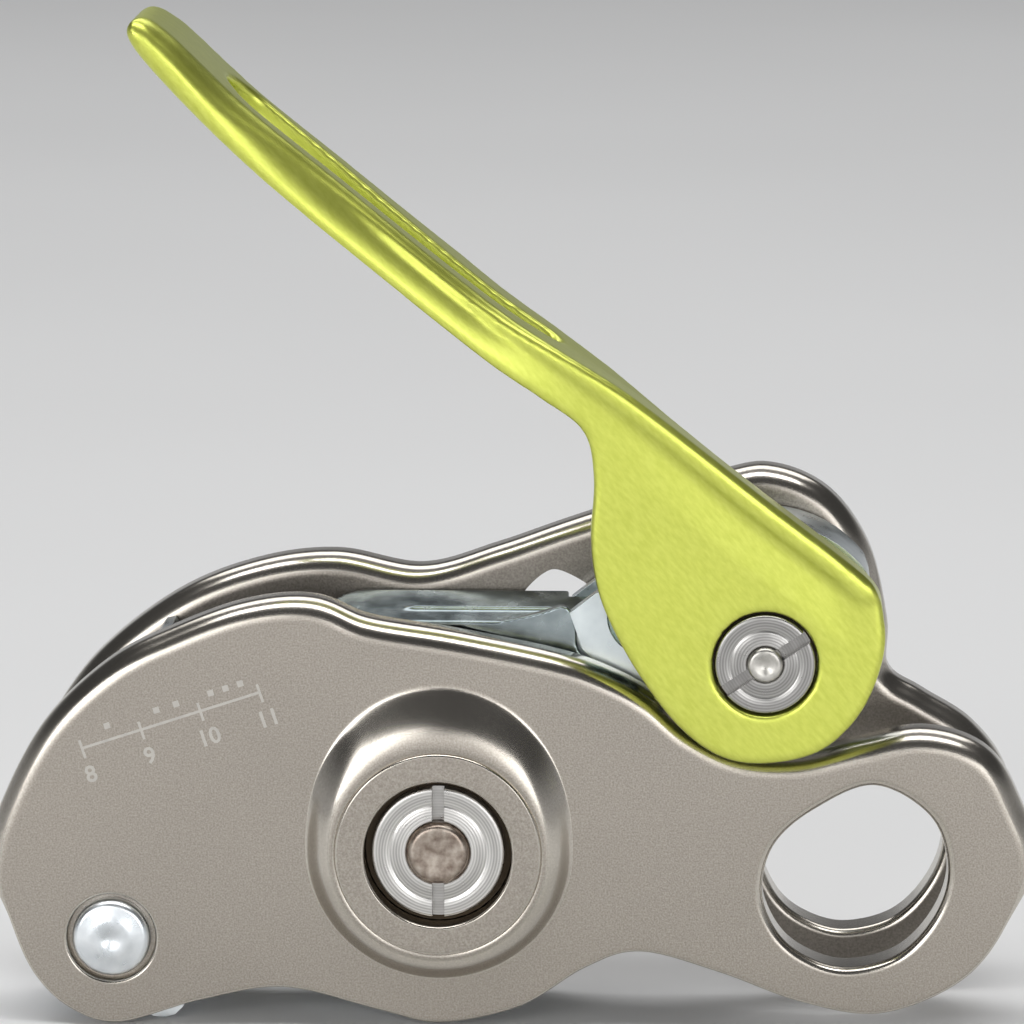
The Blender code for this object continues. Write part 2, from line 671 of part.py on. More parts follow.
def make_pad(parts, cutters):
    steps = PAD_POINTS
    outer = lobe(PAD_LOBE)
    first = math.degrees(math.atan2(outer[-1][1], outer[-1][0]))
    last = math.degrees(math.atan2(outer[0][1], outer[0][0])) + 360
    inner = [polar(first + (last - first) * i / steps, PAD_R) for i in range(steps + 1)]
    pad = prism("brake_pad", inner + outer, GAP_START, GAP_END, "zinc", parts)
    for centre, radius in ((RIVET_AT, RIVET_R), (DOWEL_AT, DOWEL_R)):
        drill(pad, centre, radius + RUN_FIT, GAP_START, GAP_END, cutters)
    seat = RIVET_RECESS_DEPTH - STACK_GAP
    tail = BACK_FACE + PLATE_T + RIVET_TAIL
    rivet = [
        (0, -0.45), (1.1, -0.55), (1.7, -RIVET_HEAD_PROUD), (2.9, -RIVET_HEAD_PROUD + 0.1),
        (RIVET_HEAD_R, 0.1), (RIVET_HEAD_R, seat), (RIVET_R, seat),
        (RIVET_R, tail - RIVET_TAIL_EDGE), (RIVET_R - RIVET_TAIL_EDGE, tail), (0, tail),
    ]
    turned("pad_rivet", rivet, RIVET_AT, "zinc", parts, count=SMALL_ROUND)
    pin("pad_dowel", DOWEL_R, GAP_START, GAP_END, DOWEL_AT, "steel", parts)


def make_cam(parts, cutters):
    y0 = PLATE_T + BUSH_FLANGE_T + HAIR + CAM_SIDE
    y1 = BACK_FACE - CAM_SIDE - STACK_GAP
    edge = smooth_loop(CAM_EDGE, CAM_POINTS)
    normals = outward(edge)
    mid = (y0 + y1) / 2
    rows = [(y0, CAM_CHAMFER), (y0 + CAM_CHAMFER, 0.0), (y0 + CAM_LIP, 0.0),
            (mid - CAM_GROOVE_HALF, CAM_SHOULDER), (mid, CAM_GROOVE),
            (mid + CAM_GROOVE_HALF, CAM_SHOULDER),
            (y1 - CAM_LIP, 0.0), (y1 - CAM_CHAMFER, 0.0), (y1, CAM_CHAMFER)]
    bm = bmesh.new()
    loops = [[at(p.x - n.x * o, y, p.y - n.y * o) for p, n in zip(edge, normals)] for y, o in rows]
    rings = loft(bm, loops)
    fill(bm, [rings[0]])
    fill(bm, [rings[-1]])
    cam = finish(bm, "cam", "steel", parts)
    arm_y = BRACKET_FRONT + BRACKET_T + SIDE_GAP
    arm_edge = smooth_loop(CAM_ARM_EDGE, CAM_ARM_POINTS)
    boolean(cam, prism("arm_join", arm_edge, arm_y, arm_y + CAM_ARM_W, "steel", cutters), "UNION")
    drill(cam, (0, 0), CAM_BUSH_R + RUN_FIT, y0, y1, cutters, ROUND)
    drill(cam, (0, 0), RECESS_R, y0, y0 + RECESS_DEPTH - PAST, cutters, ROUND)
    drill(cam, HANDLE_AT, HANDLE_AXLE_R + RUN_FIT, y0, y1, cutters)
    for centre in BRACKET_RIVETS.values():
        drill(cam, centre, BRACKET_RIVET_R + RUN_FIT, y0, y1, cutters)
    bore = AXLE_R + RUN_FIT
    ring("cam_bush", bore, CAM_BUSH_R, y0 + STACK_GAP, y1 - STACK_GAP, (0, 0), "bronze", parts)
    front = PLATE_T + HAIR + BUSH_FLANGE_T + HAIR
    wide = RECESS_R - CAM_WASHER_INSET
    ring("cam_washer_front", bore, wide, front, front + CAM_SIDE - STACK_GAP, (0, 0), "steel", parts)
    back = y1 + STACK_GAP
    ring("cam_washer_back", bore, BACK_WASHER_R, back, BACK_FACE - STACK_GAP, (0, 0), "steel", parts)
    make_spring(y0, parts)


def make_spring(start, parts):
    """Torsion coil round the cam's bush, in the cam's front recess."""
    count = int(SPRING_TURNS * COIL_POINTS) + 1
    curve = bpy.data.curves.new("cam_spring", "CURVE")
    curve.dimensions = "3D"
    curve.bevel_depth = SPRING_WIRE / 2 * MM
    curve.bevel_resolution = 2
    curve.use_fill_caps = True
    path = curve.splines.new("POLY")
    path.points.add(count - 1)
    for i, point in enumerate(path.points):
        turns = SPRING_TURNS * i / (count - 1)
        spot = polar(360 * turns, SPRING_R - SPRING_CLEAR)
        y = start + SPRING_WIRE / 2 + SPRING_CLEAR + SPRING_PITCH * turns
        point.co = (*at(spot.x, y, spot.y), 1.0)
    holder = bpy.data.objects.new("cam_spring", curve)
    parts.objects.link(holder)
    as_mesh(holder, "steel", parts)


def bracket_outline():
    """Cheek of the bracket: nose at the left, round the handle's axle at the right."""
    return [Vector(p) for p in BRACKET_EDGE] + bracket_arc(BRACKET_ANGLES, 0.0)


def bracket_arc(angles, inset):
    """Arc round the handle's axle, flattened at its right."""
    arc = [polar(a, BRACKET_R - inset, HANDLE_AT) for a in angles]
    return [Vector((min(p.x, BRACKET_RIGHT - inset), p.y)) for p in arc]


def make_bracket(parts, cutters):
    """U-shaped bracket: two cheeks joined by a web round the handle's axle."""
    bracket = prism("cam_bracket", bracket_outline(), BRACKET_FRONT, BRACKET_BACK, "zinc", parts)
    pocket = bracket_arc(POCKET_ANGLES, BRACKET_WEB)
    pocket += [Vector(p) for p in BRACKET_OPEN]
    front = BRACKET_FRONT + BRACKET_T
    boolean(bracket, prism("pocket_cutter", pocket, front, BRACKET_BACK - BRACKET_T, "zinc", cutters))
    drill(bracket, HANDLE_AT, HANDLE_AXLE_R + RUN_FIT, BRACKET_FRONT, BRACKET_BACK, cutters)
    for name, centre in BRACKET_RIVETS.items():
        drill(bracket, centre, BRACKET_RIVET_R + RUN_FIT, BRACKET_FRONT, BRACKET_BACK, cutters)
        pin(name, BRACKET_RIVET_R, BRACKET_FRONT, BRACKET_BACK, centre, "steel", parts)
    y1 = BRACKET_FRONT - HAIR
    y0 = y1 - STUD_LENGTH
    stud = [(0, y0), (STUD_R - STUD_EDGE, y0), (STUD_R, y0 + STUD_EDGE), (STUD_R, y1), (0, y1)]
    turned("drive_stud", stud, STUD_AT, "zinc", parts, count=SMALL_ROUND)


def make_leaf(parts, cutters):
    """Tongue with a round tip, a top that falls to the front, and a flare towards the bracket.

    Its narrow root seats between the bracket's cheeks.
    """
    y0 = LEAF_MID - LEAF_HALF_W
    y1 = LEAF_MID + LEAF_HALF_W
    root0 = BRACKET_FRONT + BRACKET_T + SIDE_GAP
    root1 = BRACKET_BACK - BRACKET_T - SIDE_GAP
    shoulder = BRACKET_EDGE[4][0] - SIDE_GAP
    plan = [(LEAF_ROOT, root0), (LEAF_ROOT, root1), (shoulder, root1), (shoulder, y1), (LEAF_TIP, y1)]
    turns = [90 + 180 * i / LEAF_END_POINTS for i in range(1, LEAF_END_POINTS)]
    plan += [tuple(polar(a, LEAF_HALF_W, (LEAF_TIP, LEAF_MID))) for a in turns]
    plan += [(LEAF_TIP, y0), (shoulder, y0), (shoulder, root0)]
    leaf = flat_slab("rope_leaf", plan, LEAF_TOP - LEAF_T, LEAF_TOP, "zinc", parts)
    past = LEAF_TOP + PAST
    drop = [(y0 - PAST, LEAF_FRONT), (y0, LEAF_FRONT), (y1, LEAF_TOP), (y1, past), (y0 - PAST, past)]
    sideways = (math.pi / 2, 0, math.pi / 2)
    boolean(leaf, extruded("slope_cutter", drop, 2 * LEAF_REACH, at(0, 0, 0), sideways, "zinc", cutters))
    boolean(leaf, prism("flare_join", FLARE_EDGE, y0, y0 + FLARE_T, "zinc", cutters), "UNION")


def make_stop_pin(parts):
    """The cam's open stop: the arm's lower edge rests on it."""
    pin("cam_stop_pin", STOP_PIN_R, PLATE_T + HAIR, GAP_END, stop_pin_centre(), "steel", parts)


def stop_pin_centre():
    edge = Vector(CAM_ARM_EDGE[-3])
    along = (Vector(CAM_ARM_EDGE[-4]) - Vector(CAM_ARM_EDGE[-2])).normalized()
    away = Vector((along.y, -along.x))
    return edge + away * (STOP_PIN_R + SIDE_GAP + HAIR)


def make_handle(parts, cutters):
    """Cheek and channel arm in one: the outline's prism, hollowed from below and behind."""
    pivot = at(HANDLE_AT[0], 0, HANDLE_AT[1])
    front = HANDLE_FRONT - BEAD_H
    cheek_back = HANDLE_FRONT + CHEEK_T
    outline = smooth_loop(ARM_LOWER_EDGE + ARM_TOP_EDGE, HANDLE_POINTS)
    handle = prism("handle", outline, front, ARM_BACK, "lime", parts, pivot)
    handle = round_rims(handle, HANDLE_EDGE, "lime", parts, pivot)
    drill(handle, HANDLE_AT, HANDLE_HOLE_R, front, ARM_BACK, cutters, ROUND)
    top = [Vector(p) for p in ARM_TOP_EDGE]
    slope = (top[-1] - top[0]).normalized()
    inward = Vector((-slope.y, slope.x))
    under = [p + inward * WEB_T for p in top[:-1]]
    start = under[0] - slope * HOLLOW_START
    tip = top[-1] - slope * WEB_T * HOLLOW_TIP + inward * WEB_T
    below = [Vector(p) for p in HOLLOW_BELOW]
    hollow = [start] + under[1:] + [tip, tip + inward * HOLLOW_DROP] + below
    cavity = prism("cavity_cutter", hollow, cheek_back, ARM_BACK, "lime", cutters)
    inner_rear = [(x, y - SKIRT_T) for x, y in ARM_REAR]
    inner = [(ARM_REAR[0][0], cheek_back - PAST), *inner_rear, (ARM_REAR[-1][0], cheek_back - PAST)]
    boolean(cavity, flat_slab("cavity_plan", inner, 0, TALL, "lime", cutters), "INTERSECT")
    boolean(handle, cavity)
    below = [Vector(p) for p in BEHIND_BELOW]
    behind = [start] + under[1:4] + [under[3] + Vector(BEHIND_STEP)] + below
    boolean(handle, prism("behind_cutter", behind, cheek_back, ARM_BACK + PAST, "lime", cutters))
    rear = [(ARM_REAR[0][0], ARM_BACK + PAST), *ARM_REAR, (ARM_REAR[-1][0], ARM_BACK + PAST)]
    boolean(handle, flat_slab("rear_cutter", rear, 0, TALL, "lime", cutters))
    bead = [p + inward * width for p, width in zip(top, BEAD_WIDTHS)]
    below = [Vector(p) for p in FACE_BELOW]
    face = [bead[0] - slope * FACE_START] + bead[1:-1] + [bead[-1] + slope * FACE_END] + below
    boolean(handle, prism("face_cutter", face, front - PAST, HANDLE_FRONT, "lime", cutters))
    boolean(handle, arm_slot_cutter(cutters))


def arm_slot_cutter(cutters):
    """Long slot through the arm's web, wide at the tip's end and narrow at the other."""
    first, last = Vector(SLOT_ENDS[0]), Vector(SLOT_ENDS[1])
    run = last - first
    wide, narrow = SLOT_HALF
    turns = [180 * i / SLOT_END_POINTS for i in range(SLOT_END_POINTS + 1)]
    plan = [polar(90 + a, wide, (wide, wide)) for a in turns]
    plan += [polar(270 + a, narrow, (run.length - narrow, narrow)) for a in turns]
    tilt = (0, -math.atan2(run.y, run.x), 0)
    start = at(first.x, SLOT_FRONT, first.y)
    return extruded("arm_slot_cutter", plan, 2 * SLOT_REACH, start, tilt, "lime", cutters)


def make_handle_axle(parts, cutters):
    nut_end = HANDLE_FRONT + HANDLE_NUT_T
    end = HANDLE_AXLE_END_R
    wide = end + STACK_GAP
    nut = ring("handle_nut", wide + RUN_FIT, HANDLE_NUT_R, HANDLE_FRONT, nut_end, HANDLE_AT, "steel", parts,
               edge=HANDLE_NUT_EDGE)
    cut_slot(nut, HANDLE_AT, HANDLE_NUT_R, HANDLE_FRONT, math.radians(HANDLE_NUT_TURN), cutters)
    proud = HANDLE_FRONT - HANDLE_AXLE_PROUD
    neck = nut_end + STACK_GAP
    profile = [(0, proud), (end - HANDLE_AXLE_EDGE, proud), (wide, HANDLE_FRONT - STACK_GAP), (wide, neck),
               (HANDLE_AXLE_R, neck), (HANDLE_AXLE_R, BRACKET_BACK), (0, BRACKET_BACK)]
    turned("handle_axle", profile, HANDLE_AT, "steel", parts, count=SMALL_ROUND)
    inner = HANDLE_AXLE_R + RUN_FIT
    cheek_back = HANDLE_FRONT + CHEEK_T
    pivot = at(HANDLE_AT[0], 0, HANDLE_AT[1])
    ring("handle_bush", inner, HANDLE_HOLE_R - RUN_FIT, neck, cheek_back, HANDLE_AT, "bronze", parts, pivot)
    collar = (cheek_back + STACK_GAP, BRACKET_FRONT - HAIR)
    ring("handle_collar", inner, COLLAR_R, *collar, HANDLE_AT, "steel", parts)


def main():
    clear_scene()
    parts = make_collection(NAME)
    cutters = make_collection(NAME + "_cutters")
    make_front_plate(parts)
    make_back_plate(parts, cutters)
    make_main_axle(parts)
    make_hub(parts, cutters)
    make_pad(parts, cutters)
    make_cam(parts, cutters)
    make_stop_pin(parts)
    make_bracket(parts, cutters)
    make_leaf(parts, cutters)
    make_handle(parts, cutters)
    make_handle_axle(parts, cutters)


main()
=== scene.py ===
"""Looks of the assisted braking belay device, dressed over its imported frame."""
import json
import math

import bmesh
import bpy
from mathutils import Matrix, Vector
from mathutils.kdtree import KDTree


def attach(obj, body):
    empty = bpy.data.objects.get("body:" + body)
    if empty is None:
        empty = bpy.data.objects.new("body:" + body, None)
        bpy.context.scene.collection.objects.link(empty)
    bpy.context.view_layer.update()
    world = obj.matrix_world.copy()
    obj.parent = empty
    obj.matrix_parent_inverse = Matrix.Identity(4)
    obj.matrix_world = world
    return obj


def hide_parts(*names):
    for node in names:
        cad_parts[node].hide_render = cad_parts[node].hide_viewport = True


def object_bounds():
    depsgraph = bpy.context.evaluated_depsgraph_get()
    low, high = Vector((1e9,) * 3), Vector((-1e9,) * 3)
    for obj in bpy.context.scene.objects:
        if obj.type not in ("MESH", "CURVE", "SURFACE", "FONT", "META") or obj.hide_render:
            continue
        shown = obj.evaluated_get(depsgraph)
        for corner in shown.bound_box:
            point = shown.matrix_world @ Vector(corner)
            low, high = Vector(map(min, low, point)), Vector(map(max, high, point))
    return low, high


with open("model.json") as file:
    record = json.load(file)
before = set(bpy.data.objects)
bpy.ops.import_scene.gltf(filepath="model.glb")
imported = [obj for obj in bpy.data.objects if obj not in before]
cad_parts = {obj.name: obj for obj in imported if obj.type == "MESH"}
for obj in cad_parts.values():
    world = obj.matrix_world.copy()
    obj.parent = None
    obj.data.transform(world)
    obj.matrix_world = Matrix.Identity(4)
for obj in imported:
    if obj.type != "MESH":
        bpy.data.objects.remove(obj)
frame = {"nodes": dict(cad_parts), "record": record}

CAD_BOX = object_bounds()
MM = 0.001

# Stack along Y, in mm behind the front plate's flat face
AXLE_PROUD = 2.1
PLATE_T = 2.0
BACK_FACE = 15.5
BEND_R = 2.4
RIM_DEPTH = 5.0
RIM_EDGE = 1.0
RIM_ROUND = 0.35
RIM_START = 0.3
RIM_LIP = 0.8
AXLE_END = -AXLE_PROUD
RUN_FIT = 0.06
STACK_GAP = 0.1
HAIR = 0.05
SIDE_GAP = 0.3
GAP_START = PLATE_T + SIDE_GAP
GAP_END = BACK_FACE - SIDE_GAP
PAST = 1.0

# Hub and main axle
BOSS_R = 11.0
BOSS_HEIGHT = 2.6
BOSS_FOOT_R = 14.2
BOSS_FOOT_TOP = 3.6
BOSS_FILLET = 0.11
BOSS_FILLET_WIDTH = 0.96
BOSS_FILLET_HEIGHT = 0.9
BOSS_SHOULDER = 0.35
BOSS_HOLE_R = 7.8
BOSS_HOLE_EDGE = 0.3
NUT_R = 7.0
NUT_FACE = -1.5
NUT_BACK = 0.1
NUT_GROOVE_R = 5.1
DISC_EDGE = 0.3
DISC_BACK_EDGE = 0.15
DISC_GROOVE_DEPTH = 0.12
DISC_GROOVE_HALF = 0.25
SLOT_W = 1.3
SLOT_DEPTH = 1.1
AXLE_R = 4.0
AXLE_NECK_R = 3.3
AXLE_FACE = [(0, AXLE_END + 0.1), (1.7, AXLE_END + 0.06), (2.3, AXLE_END)]
AXLE_FACE_EDGE = 0.65
AXLE_FACE_EDGE_AT = 2.55
AXLE_HEAD_R = 7.5
AXLE_HEAD_START = BACK_FACE + PLATE_T + 0.7
AXLE_HEAD_T = 1.7
AXLE_HEAD_EDGE = 0.7
NUT_BEVEL = 0.08
BACK_BORE = 6.0 + RUN_FIT

# Pad, its rivet and dowel, the eye and the notch
PAD_R = 30.0
PAD_CORNER = 0.1
PAD_CLEAR = 0.3
PAD_BEVEL = 0.5
DOWEL_AT = (-33.2, 11.0)
DOWEL_R = 1.5
RIVET_AT = (-34.8, -10.0)
RIVET_R = 2.5
RIVET_HEAD_R = 4.15
RIVET_DOME = [(0, -0.5), (0.5, -0.55), (0.9, -0.74), (1.6, -0.82), (2.2, -0.74), (2.9, -0.5)]
RIVET_DOME_EDGE = 0.9
RIVET_DOME_EDGE_AT = 0.4
RIVET_SEAT = 1.1
RIVET_TAIL = 1.0
RIVET_TAIL_EDGE = 0.4
RIVET_RECESS = (4.7, 1.2)
RIVET_RECESS_EDGE = 0.4
RIVET_RECESS_DRAFT = 0.1
NOTCH_HALF = 2.9
NOTCH_REACH = math.hypot(*RIVET_AT)
NOTCH_END = 225
COLLAR_DEPTH = 4.8
COLLAR_WALL = 1.7
COLLAR_EDGE = 0.9
COLLAR_LIP = 0.5
WINDOW_LIP = 0.3

# Bracket, leaf and stud
BRACKET_FRONT = 5.4
BRACKET_BACK = 15.0
BRACKET_T = 1.8
BRACKET_BEVEL = 0.45
BRACKET_R = 13.4
BRACKET_RIGHT = 45.2
BRACKET_DRAWN_IN = 2.6
BRACKET_DRAWN_OVER = 35
BRACKET_SWEEP = range(98, -47, -6)
POCKET_SWEEP = range(110, -56, -6)
BRACKET_RIVETS = ((26.0, 15.4), (25.4, 25.6))
BRACKET_RIVET_R = 1.3
BRACKET_OPEN = [(42, 2), (8, 2), (8, 36), (26, 38)]
LEAF_TOP = 25.0
LEAF_T = 2.2
LEAF_FRONT = LEAF_TOP - 1.7
FLARE_T = 1.4
LEAF_HALF_W = 4.4
LEAF_MID = 10.2
LEAF_ROOT = 20.6
LEAF_ROOT_SIDES = (7.5, 12.9)
LEAF_SHOULDER = 13.3
LEAF_TIP = -7.4
LEAF_REACH = 30.0
LEAF_VOXEL = 0.18
LEAF_SOFTENING = 3
RIB_ENDS = (-4.2, 12.6)
RIB_RUN_OUT = 1.2
RIB_OFF_MIDDLE = 0.9
RIB_REACH = 1.6
RIB_HEIGHT = 0.32
RIB_WIDTH = 0.34
STUD_AT = (21.8, 25.0)
STUD_R = 4.2
STUD_LENGTH = 4.6
STUD_EDGE = 0.6
STUD_DIMPLE = [(0, 0.5), (1.6, 0.5), (2.0, 0)]
STUD_GROOVE = [(1.6, 0), (1.4, 0.5), (1.0, 0.5), (0.8, 0)]

# Handle
HANDLE_AT = (34.2, 21.0)
HANDLE_FRONT = -3.5
CHEEK_T = 3.0
BEAD_H = 0.7
ARM_BACK = 14.5
WEB_T = 2.4
SKIRT_T = 2.2
HANDLE_HOLE_R = 5.5
HANDLE_NUT_R = 5.1
HANDLE_NUT_GROWTH = 0.12
HANDLE_NUT_T = 1.5
HANDLE_NUT_TURN = 34
HANDLE_GROOVE_R = 3.6
HANDLE_AXLE_R = 2.5
HANDLE_AXLE_NECK_R = 1.85
HANDLE_AXLE_PROUD = 0.5
HANDLE_AXLE_EDGE = 0.3
HANDLE_AXLE_DIMPLE = [(0, 0.28), (0.6, 0.22), (1.0, 0)]
HANDLE_NUT_BEVEL = 0.07
SLOT_ENDS = ((-21.4, 81.7), (12.6, 53.6))
SLOT_FRONT = 2.6
SLOT_HALF = (4.6, 2.0)
SLOT_REACH = 8.0
LEAN_REACH = 3.0
TALL = 120.0
VOXEL = 0.3
FINE_VOXEL = 0.24
LIGHT_SOFTENING = 2
SOFTENING = 12
SOFT_FACTOR = 0.5

# Handle's cutters: how far each starts and ends past the arm, and far points that close them
HOLLOW_START = 6.0
HOLLOW_DROP = 9.0
HOLLOW_TIP = 1.6
HOLLOW_BELOW = [(-12, 40), (2, 2), (60, 2), (60, 20)]
BEHIND_STEP = (-2, -12)
BEHIND_BELOW = [(0, 10), (60, 2), (60, 20)]

# Outlines in mm, (x, z) from the main axle. In those named LOBE, x is from the pad's inner face.
LOWER_LOBE = [(-16.4, -3.8), (-15.3, -9.0), (-13.0, -14.2), (-9.2, -17.9), (-4.0, -19.3), (4.6, -16.8)]
LOWER_EDGE = [
    (-16.4, -15.3), (-6.3, -17.7), (0.1, -19.0), (8.6, -17.1), (15.5, -12.8), (21.3, -11.0),
    (29.7, -13.2), (38.2, -16.3), (46.7, -17.5), (55.0, -14.0), (59.6, -8.2), (61.2, -1.8),
]
FRONT_TOP_EDGE = [
    (59.2, 4.0), (56.3, 8.9), (51.0, 10.7), (45.3, 9.6), (38.0, 7.9), (31.0, 8.3), (25.4, 11.0),
    (21.2, 14.5), (17.0, 16.8), (11.7, 18.6), (1.2, 20.7), (-8.0, 22.2), (-13.6, 24.3), (-20.0, 23.7),
]
FRONT_LOBE = [(3.0, 21.1), (-3.5, 17.7), (-9.9, 11.5), (-14.3, 3.3)]
BACK_TOP_EDGE = [
    (60.4, 5.0), (56.6, 10.2), (51.3, 13.6), (47.6, 16.2), (47.4, 21.5), (45.4, 29.5), (41.2, 35.4),
    (35.4, 38.1), (29.5, 37.4), (14.3, 32.4), (5.6, 29.3), (-2.6, 27.0), (-11.7, 28.5), (-20.3, 27.4),
]
BACK_LOBE = [(0.9, 23.8), (-7.9, 16.9), (-13.6, 8.8), (-16.8, 2.0)]
PAD_LOBE = [
    (3.4, -16.0), (-3.8, -18.3), (-9.0, -16.9), (-13.0, -12.0), (-15.2, -4.0), (-13.9, 2.6),
    (-11.1, 8.9), (-6.9, 13.8), (-2.6, 17.5), (1.8, 19.8),
]
EYE_EDGE = [
    (34.1, -4.1), (35.5, -8.4), (38.4, -11.2), (43.0, -12.6), (48.5, -11.1), (52.3, -6.8), (53.6, -1.7),
    (51.7, 3.9), (45.8, 7.2), (39.6, 4.6), (35.4, 0.8),
]
WINDOW_EDGE = [(8.0, 24.3), (10.4, 26.9), (12.6, 27.2), (16.2, 24.9), (14.8, 22.6), (9.4, 22.6)]
BRACKET_EDGE = [
    (27.4, 9.8), (23.6, 13.4), (18.6, 16.8), (14.9, 20.6), (13.6, 24.4), (16.4, 26.6), (22.0, 27.0),
    (26.8, 29.6), (30.6, 33.4),
]
ARM_TOP_EDGE = [
    (44.6, 29.5), (33.5, 38.2), (21.1, 47.8), (12.8, 53.6), (4.6, 59.2), (-9.8, 70.7), (-20.0, 79.0),
    (-27.2, 86.0),
]
ARM_LOWER_EDGE = [
    (-30.3, 88.0), (-31.7, 86.2), (-28.4, 81.7), (-20.0, 73.3), (-9.3, 64.3), (4.6, 53.1), (10.8, 48.8),
    (15.2, 45.4), (16.3, 40.4), (16.0, 34.1), (16.7, 28.8), (18.6, 24.0), (21.7, 18.7), (25.4, 14.0),
    (29.6, 11.0), (34.3, 10.3), (40.0, 11.7), (44.1, 15.7), (46.3, 21.0), (46.5, 25.6),
]
ARM_REAR = [
    (-40.0, 1.0), (-32.4, 6.6), (-30.5, 10.2), (-27.5, 12.9), (-22.0, 14.4), (2.0, 14.4), (11.0, 11.6),
    (17.0, 9.3), (23.5, 5.6), (29.3, 4.0), (60.0, 4.0),
]
FLARE_EDGE = [
    (1.6, LEAF_FRONT - 0.3), (5.0, 23.2), (8.0, 23.7), (10.8, 24.4), (13.2, 25.0), (14.2, 23.0),
    (14.5, 20.4), (16.0, 18.6), (12.4, 19.4), (7.4, 21.2),
]

# Rope scale: its ends, then widths, heights and depths
SCALE_START = (-37.6, 10.6)
SCALE_END = (-18.8, 16.8)
SCALE_NUMBERS = ("8", "9", "10", "11")
SCALE_STROKE = 0.27
SCALE_SUNK = 0.004
LINE_PROUD = 0.012
TICK_PROUD = 0.016
TICK = (-1.1, 0.9)
DOT = 0.64
DOT_RISE = 1.5
NUMBER_DROP = 3.0
NUMBER_SIZE = 2.5
NUMBER_WEIGHT = 0.04
NUMBER_DEPTH = 0.008
NUMBER_LEVEL = -0.006

# How the handle's front is shaped, in rows of (x, value)
BEAD_WIDTH = [(-16.0, 0.6), (4.6, 0.9), (21.0, 1.3), (33.5, 1.5), (46.0, 1.5)]
BEAD_RISE = [(-14.0, 0.0), (-2.0, 0.5), (40.0, 0.7), (46.0, 0.2)]
FLANK = 0.9
TOP_ROUND = [(-24.0, 2.2), (-14.0, 0.8), (46.0, 0.9)]
LOW_ROUND = [(-22.0, 1.0), (-12.0, 0.5), (46.0, 0.5)]
HOLLOW_DEPTH = [(16.0, 0.0), (30.0, 0.18), (41.0, 0.2), (45.0, 0.0)]
HOLLOW_WIDTH = 4.0
BULGE = [(-30.0, 0.5), (-14.0, 0.0), (46.0, 0.0)]
BULGE_AT = 0.5
SLANT = [(-32.0, 0.0), (-10.0, 0.4), (6.0, 0.4), (17.0, 0.0), (46.0, 0.0)]
CURVE = [(-33.0, 0.0), (-10.0, 1.9), (2.0, 1.8), (15.0, 0.0), (46.0, 0.0)]
TOP_LEAN = [(8.0, 0.0), (20.0, 0.6), (46.0, 0.6)]

# Points round circles and along outlines
ROUND = 96
SMALL_ROUND = 48
STUD_ROUND = 64
RIM_POINTS = 420
EYE_POINTS = 140
HUB_POINTS = 160
HUB_ROWS = 20
HOLE_POINTS = 72
WINDOW_POINTS = 90
HANDLE_POINTS = 260
SHAPE_STEPS = 160
PAD_STEPS = 40
PAD_POINTS = 140
FLARE_POINTS = 60
NOTCH_STEPS = 24
END_STEPS = 16

# In metres, what welds two points or drops a sliver; in mm, the radius of a turned piece's axis points
WELD = 2e-6
SLIVER = 1e-6
POLE_R = 1e-4

# Weight of large faces in the shading; in degrees, where shading turns sharp and edges are bevelled
NORMAL_WEIGHT = 80
SHARP_ANGLE = 40
PLATE_SHARP_ANGLE = 50
CUT_SHARP_ANGLE = 35
BEVEL_ANGLE = 38


# Geometry helpers

def at(x, y, z):
    """A point in metres from mm: x and z from the main axle, y behind the front plate's face."""
    return Vector((x * MM, (y + AXLE_PROUD) * MM, z * MM))


def lobe(points):
    """Points given from the pad's inner radius at the left, moved to the main axle."""
    return [(x - PAD_R, z) for x, z in points]


def polar(angle, radius, centre=(0.0, 0.0)):
    """The point at an angle in degrees and a radius round a centre."""
    a = math.radians(angle)
    return Vector((centre[0] + radius * math.cos(a), centre[1] + radius * math.sin(a)))


def circle(radius, count=ROUND, centre=(0.0, 0.0)):
    """Points round a circle."""
    return [polar(360 * i / count, radius, centre) for i in range(count)]


def spline(knots, steps=12):
    """A fine closed Catmull-Rom curve through the knots."""
    fine = []
    total = len(knots)
    for i in range(total):
        p0, p1, p2, p3 = (Vector(knots[(i + k) % total]) for k in (-1, 0, 1, 2))
        for step in range(steps):
            t = step / steps
            fine.append(0.5 * (2 * p1 + (p2 - p0) * t + (2 * p0 - 5 * p1 + 4 * p2 - p3) * t * t
                               + (3 * p1 - p0 - 3 * p2 + p3) * t ** 3))
    return fine


def smooth_loop(knots, count):
    """Evenly spaced points on the closed curve through the knots."""
    points = spline(knots)
    lengths = [(points[(i + 1) % len(points)] - p).length for i, p in enumerate(points)]
    step = sum(lengths) / count
    out = []
    travelled = 0.0
    for i, p in enumerate(points):
        following = points[(i + 1) % len(points)]
        while len(out) * step < travelled + lengths[i] and len(out) < count:
            out.append(p.lerp(following, (len(out) * step - travelled) / lengths[i]))
        travelled += lengths[i]
    return out


def outward(points):
    """Unit normals of a closed outline, to the right of its run: outward if it is counter-clockwise."""
    out = []
    for i in range(len(points)):
        along = points[(i + 1) % len(points)] - points[i - 1]
        out.append(Vector((along.y, -along.x)).normalized())
    return out


def ease(t):
    """0 to 1 with a soft start and end."""
    t = min(1.0, max(0.0, t))
    return t * t * (3 - 2 * t)


def arc(centre, radius, first, last, steps):
    """Points of a section's rounded corner, as (outward, depth)."""
    return [tuple(polar(first + (last - first) * i / steps, radius, centre)) for i in range(steps + 1)]


def loft(bm, loops):
    """Join loops of equal length by faces, and give back their vertices."""
    rings = [[bm.verts.new(p) for p in loop] for loop in loops]
    for near, far in zip(rings, rings[1:]):
        for i in range(len(near)):
            j = (i + 1) % len(near)
            bm.faces.new((near[i], near[j], far[j], far[i]))
    return rings


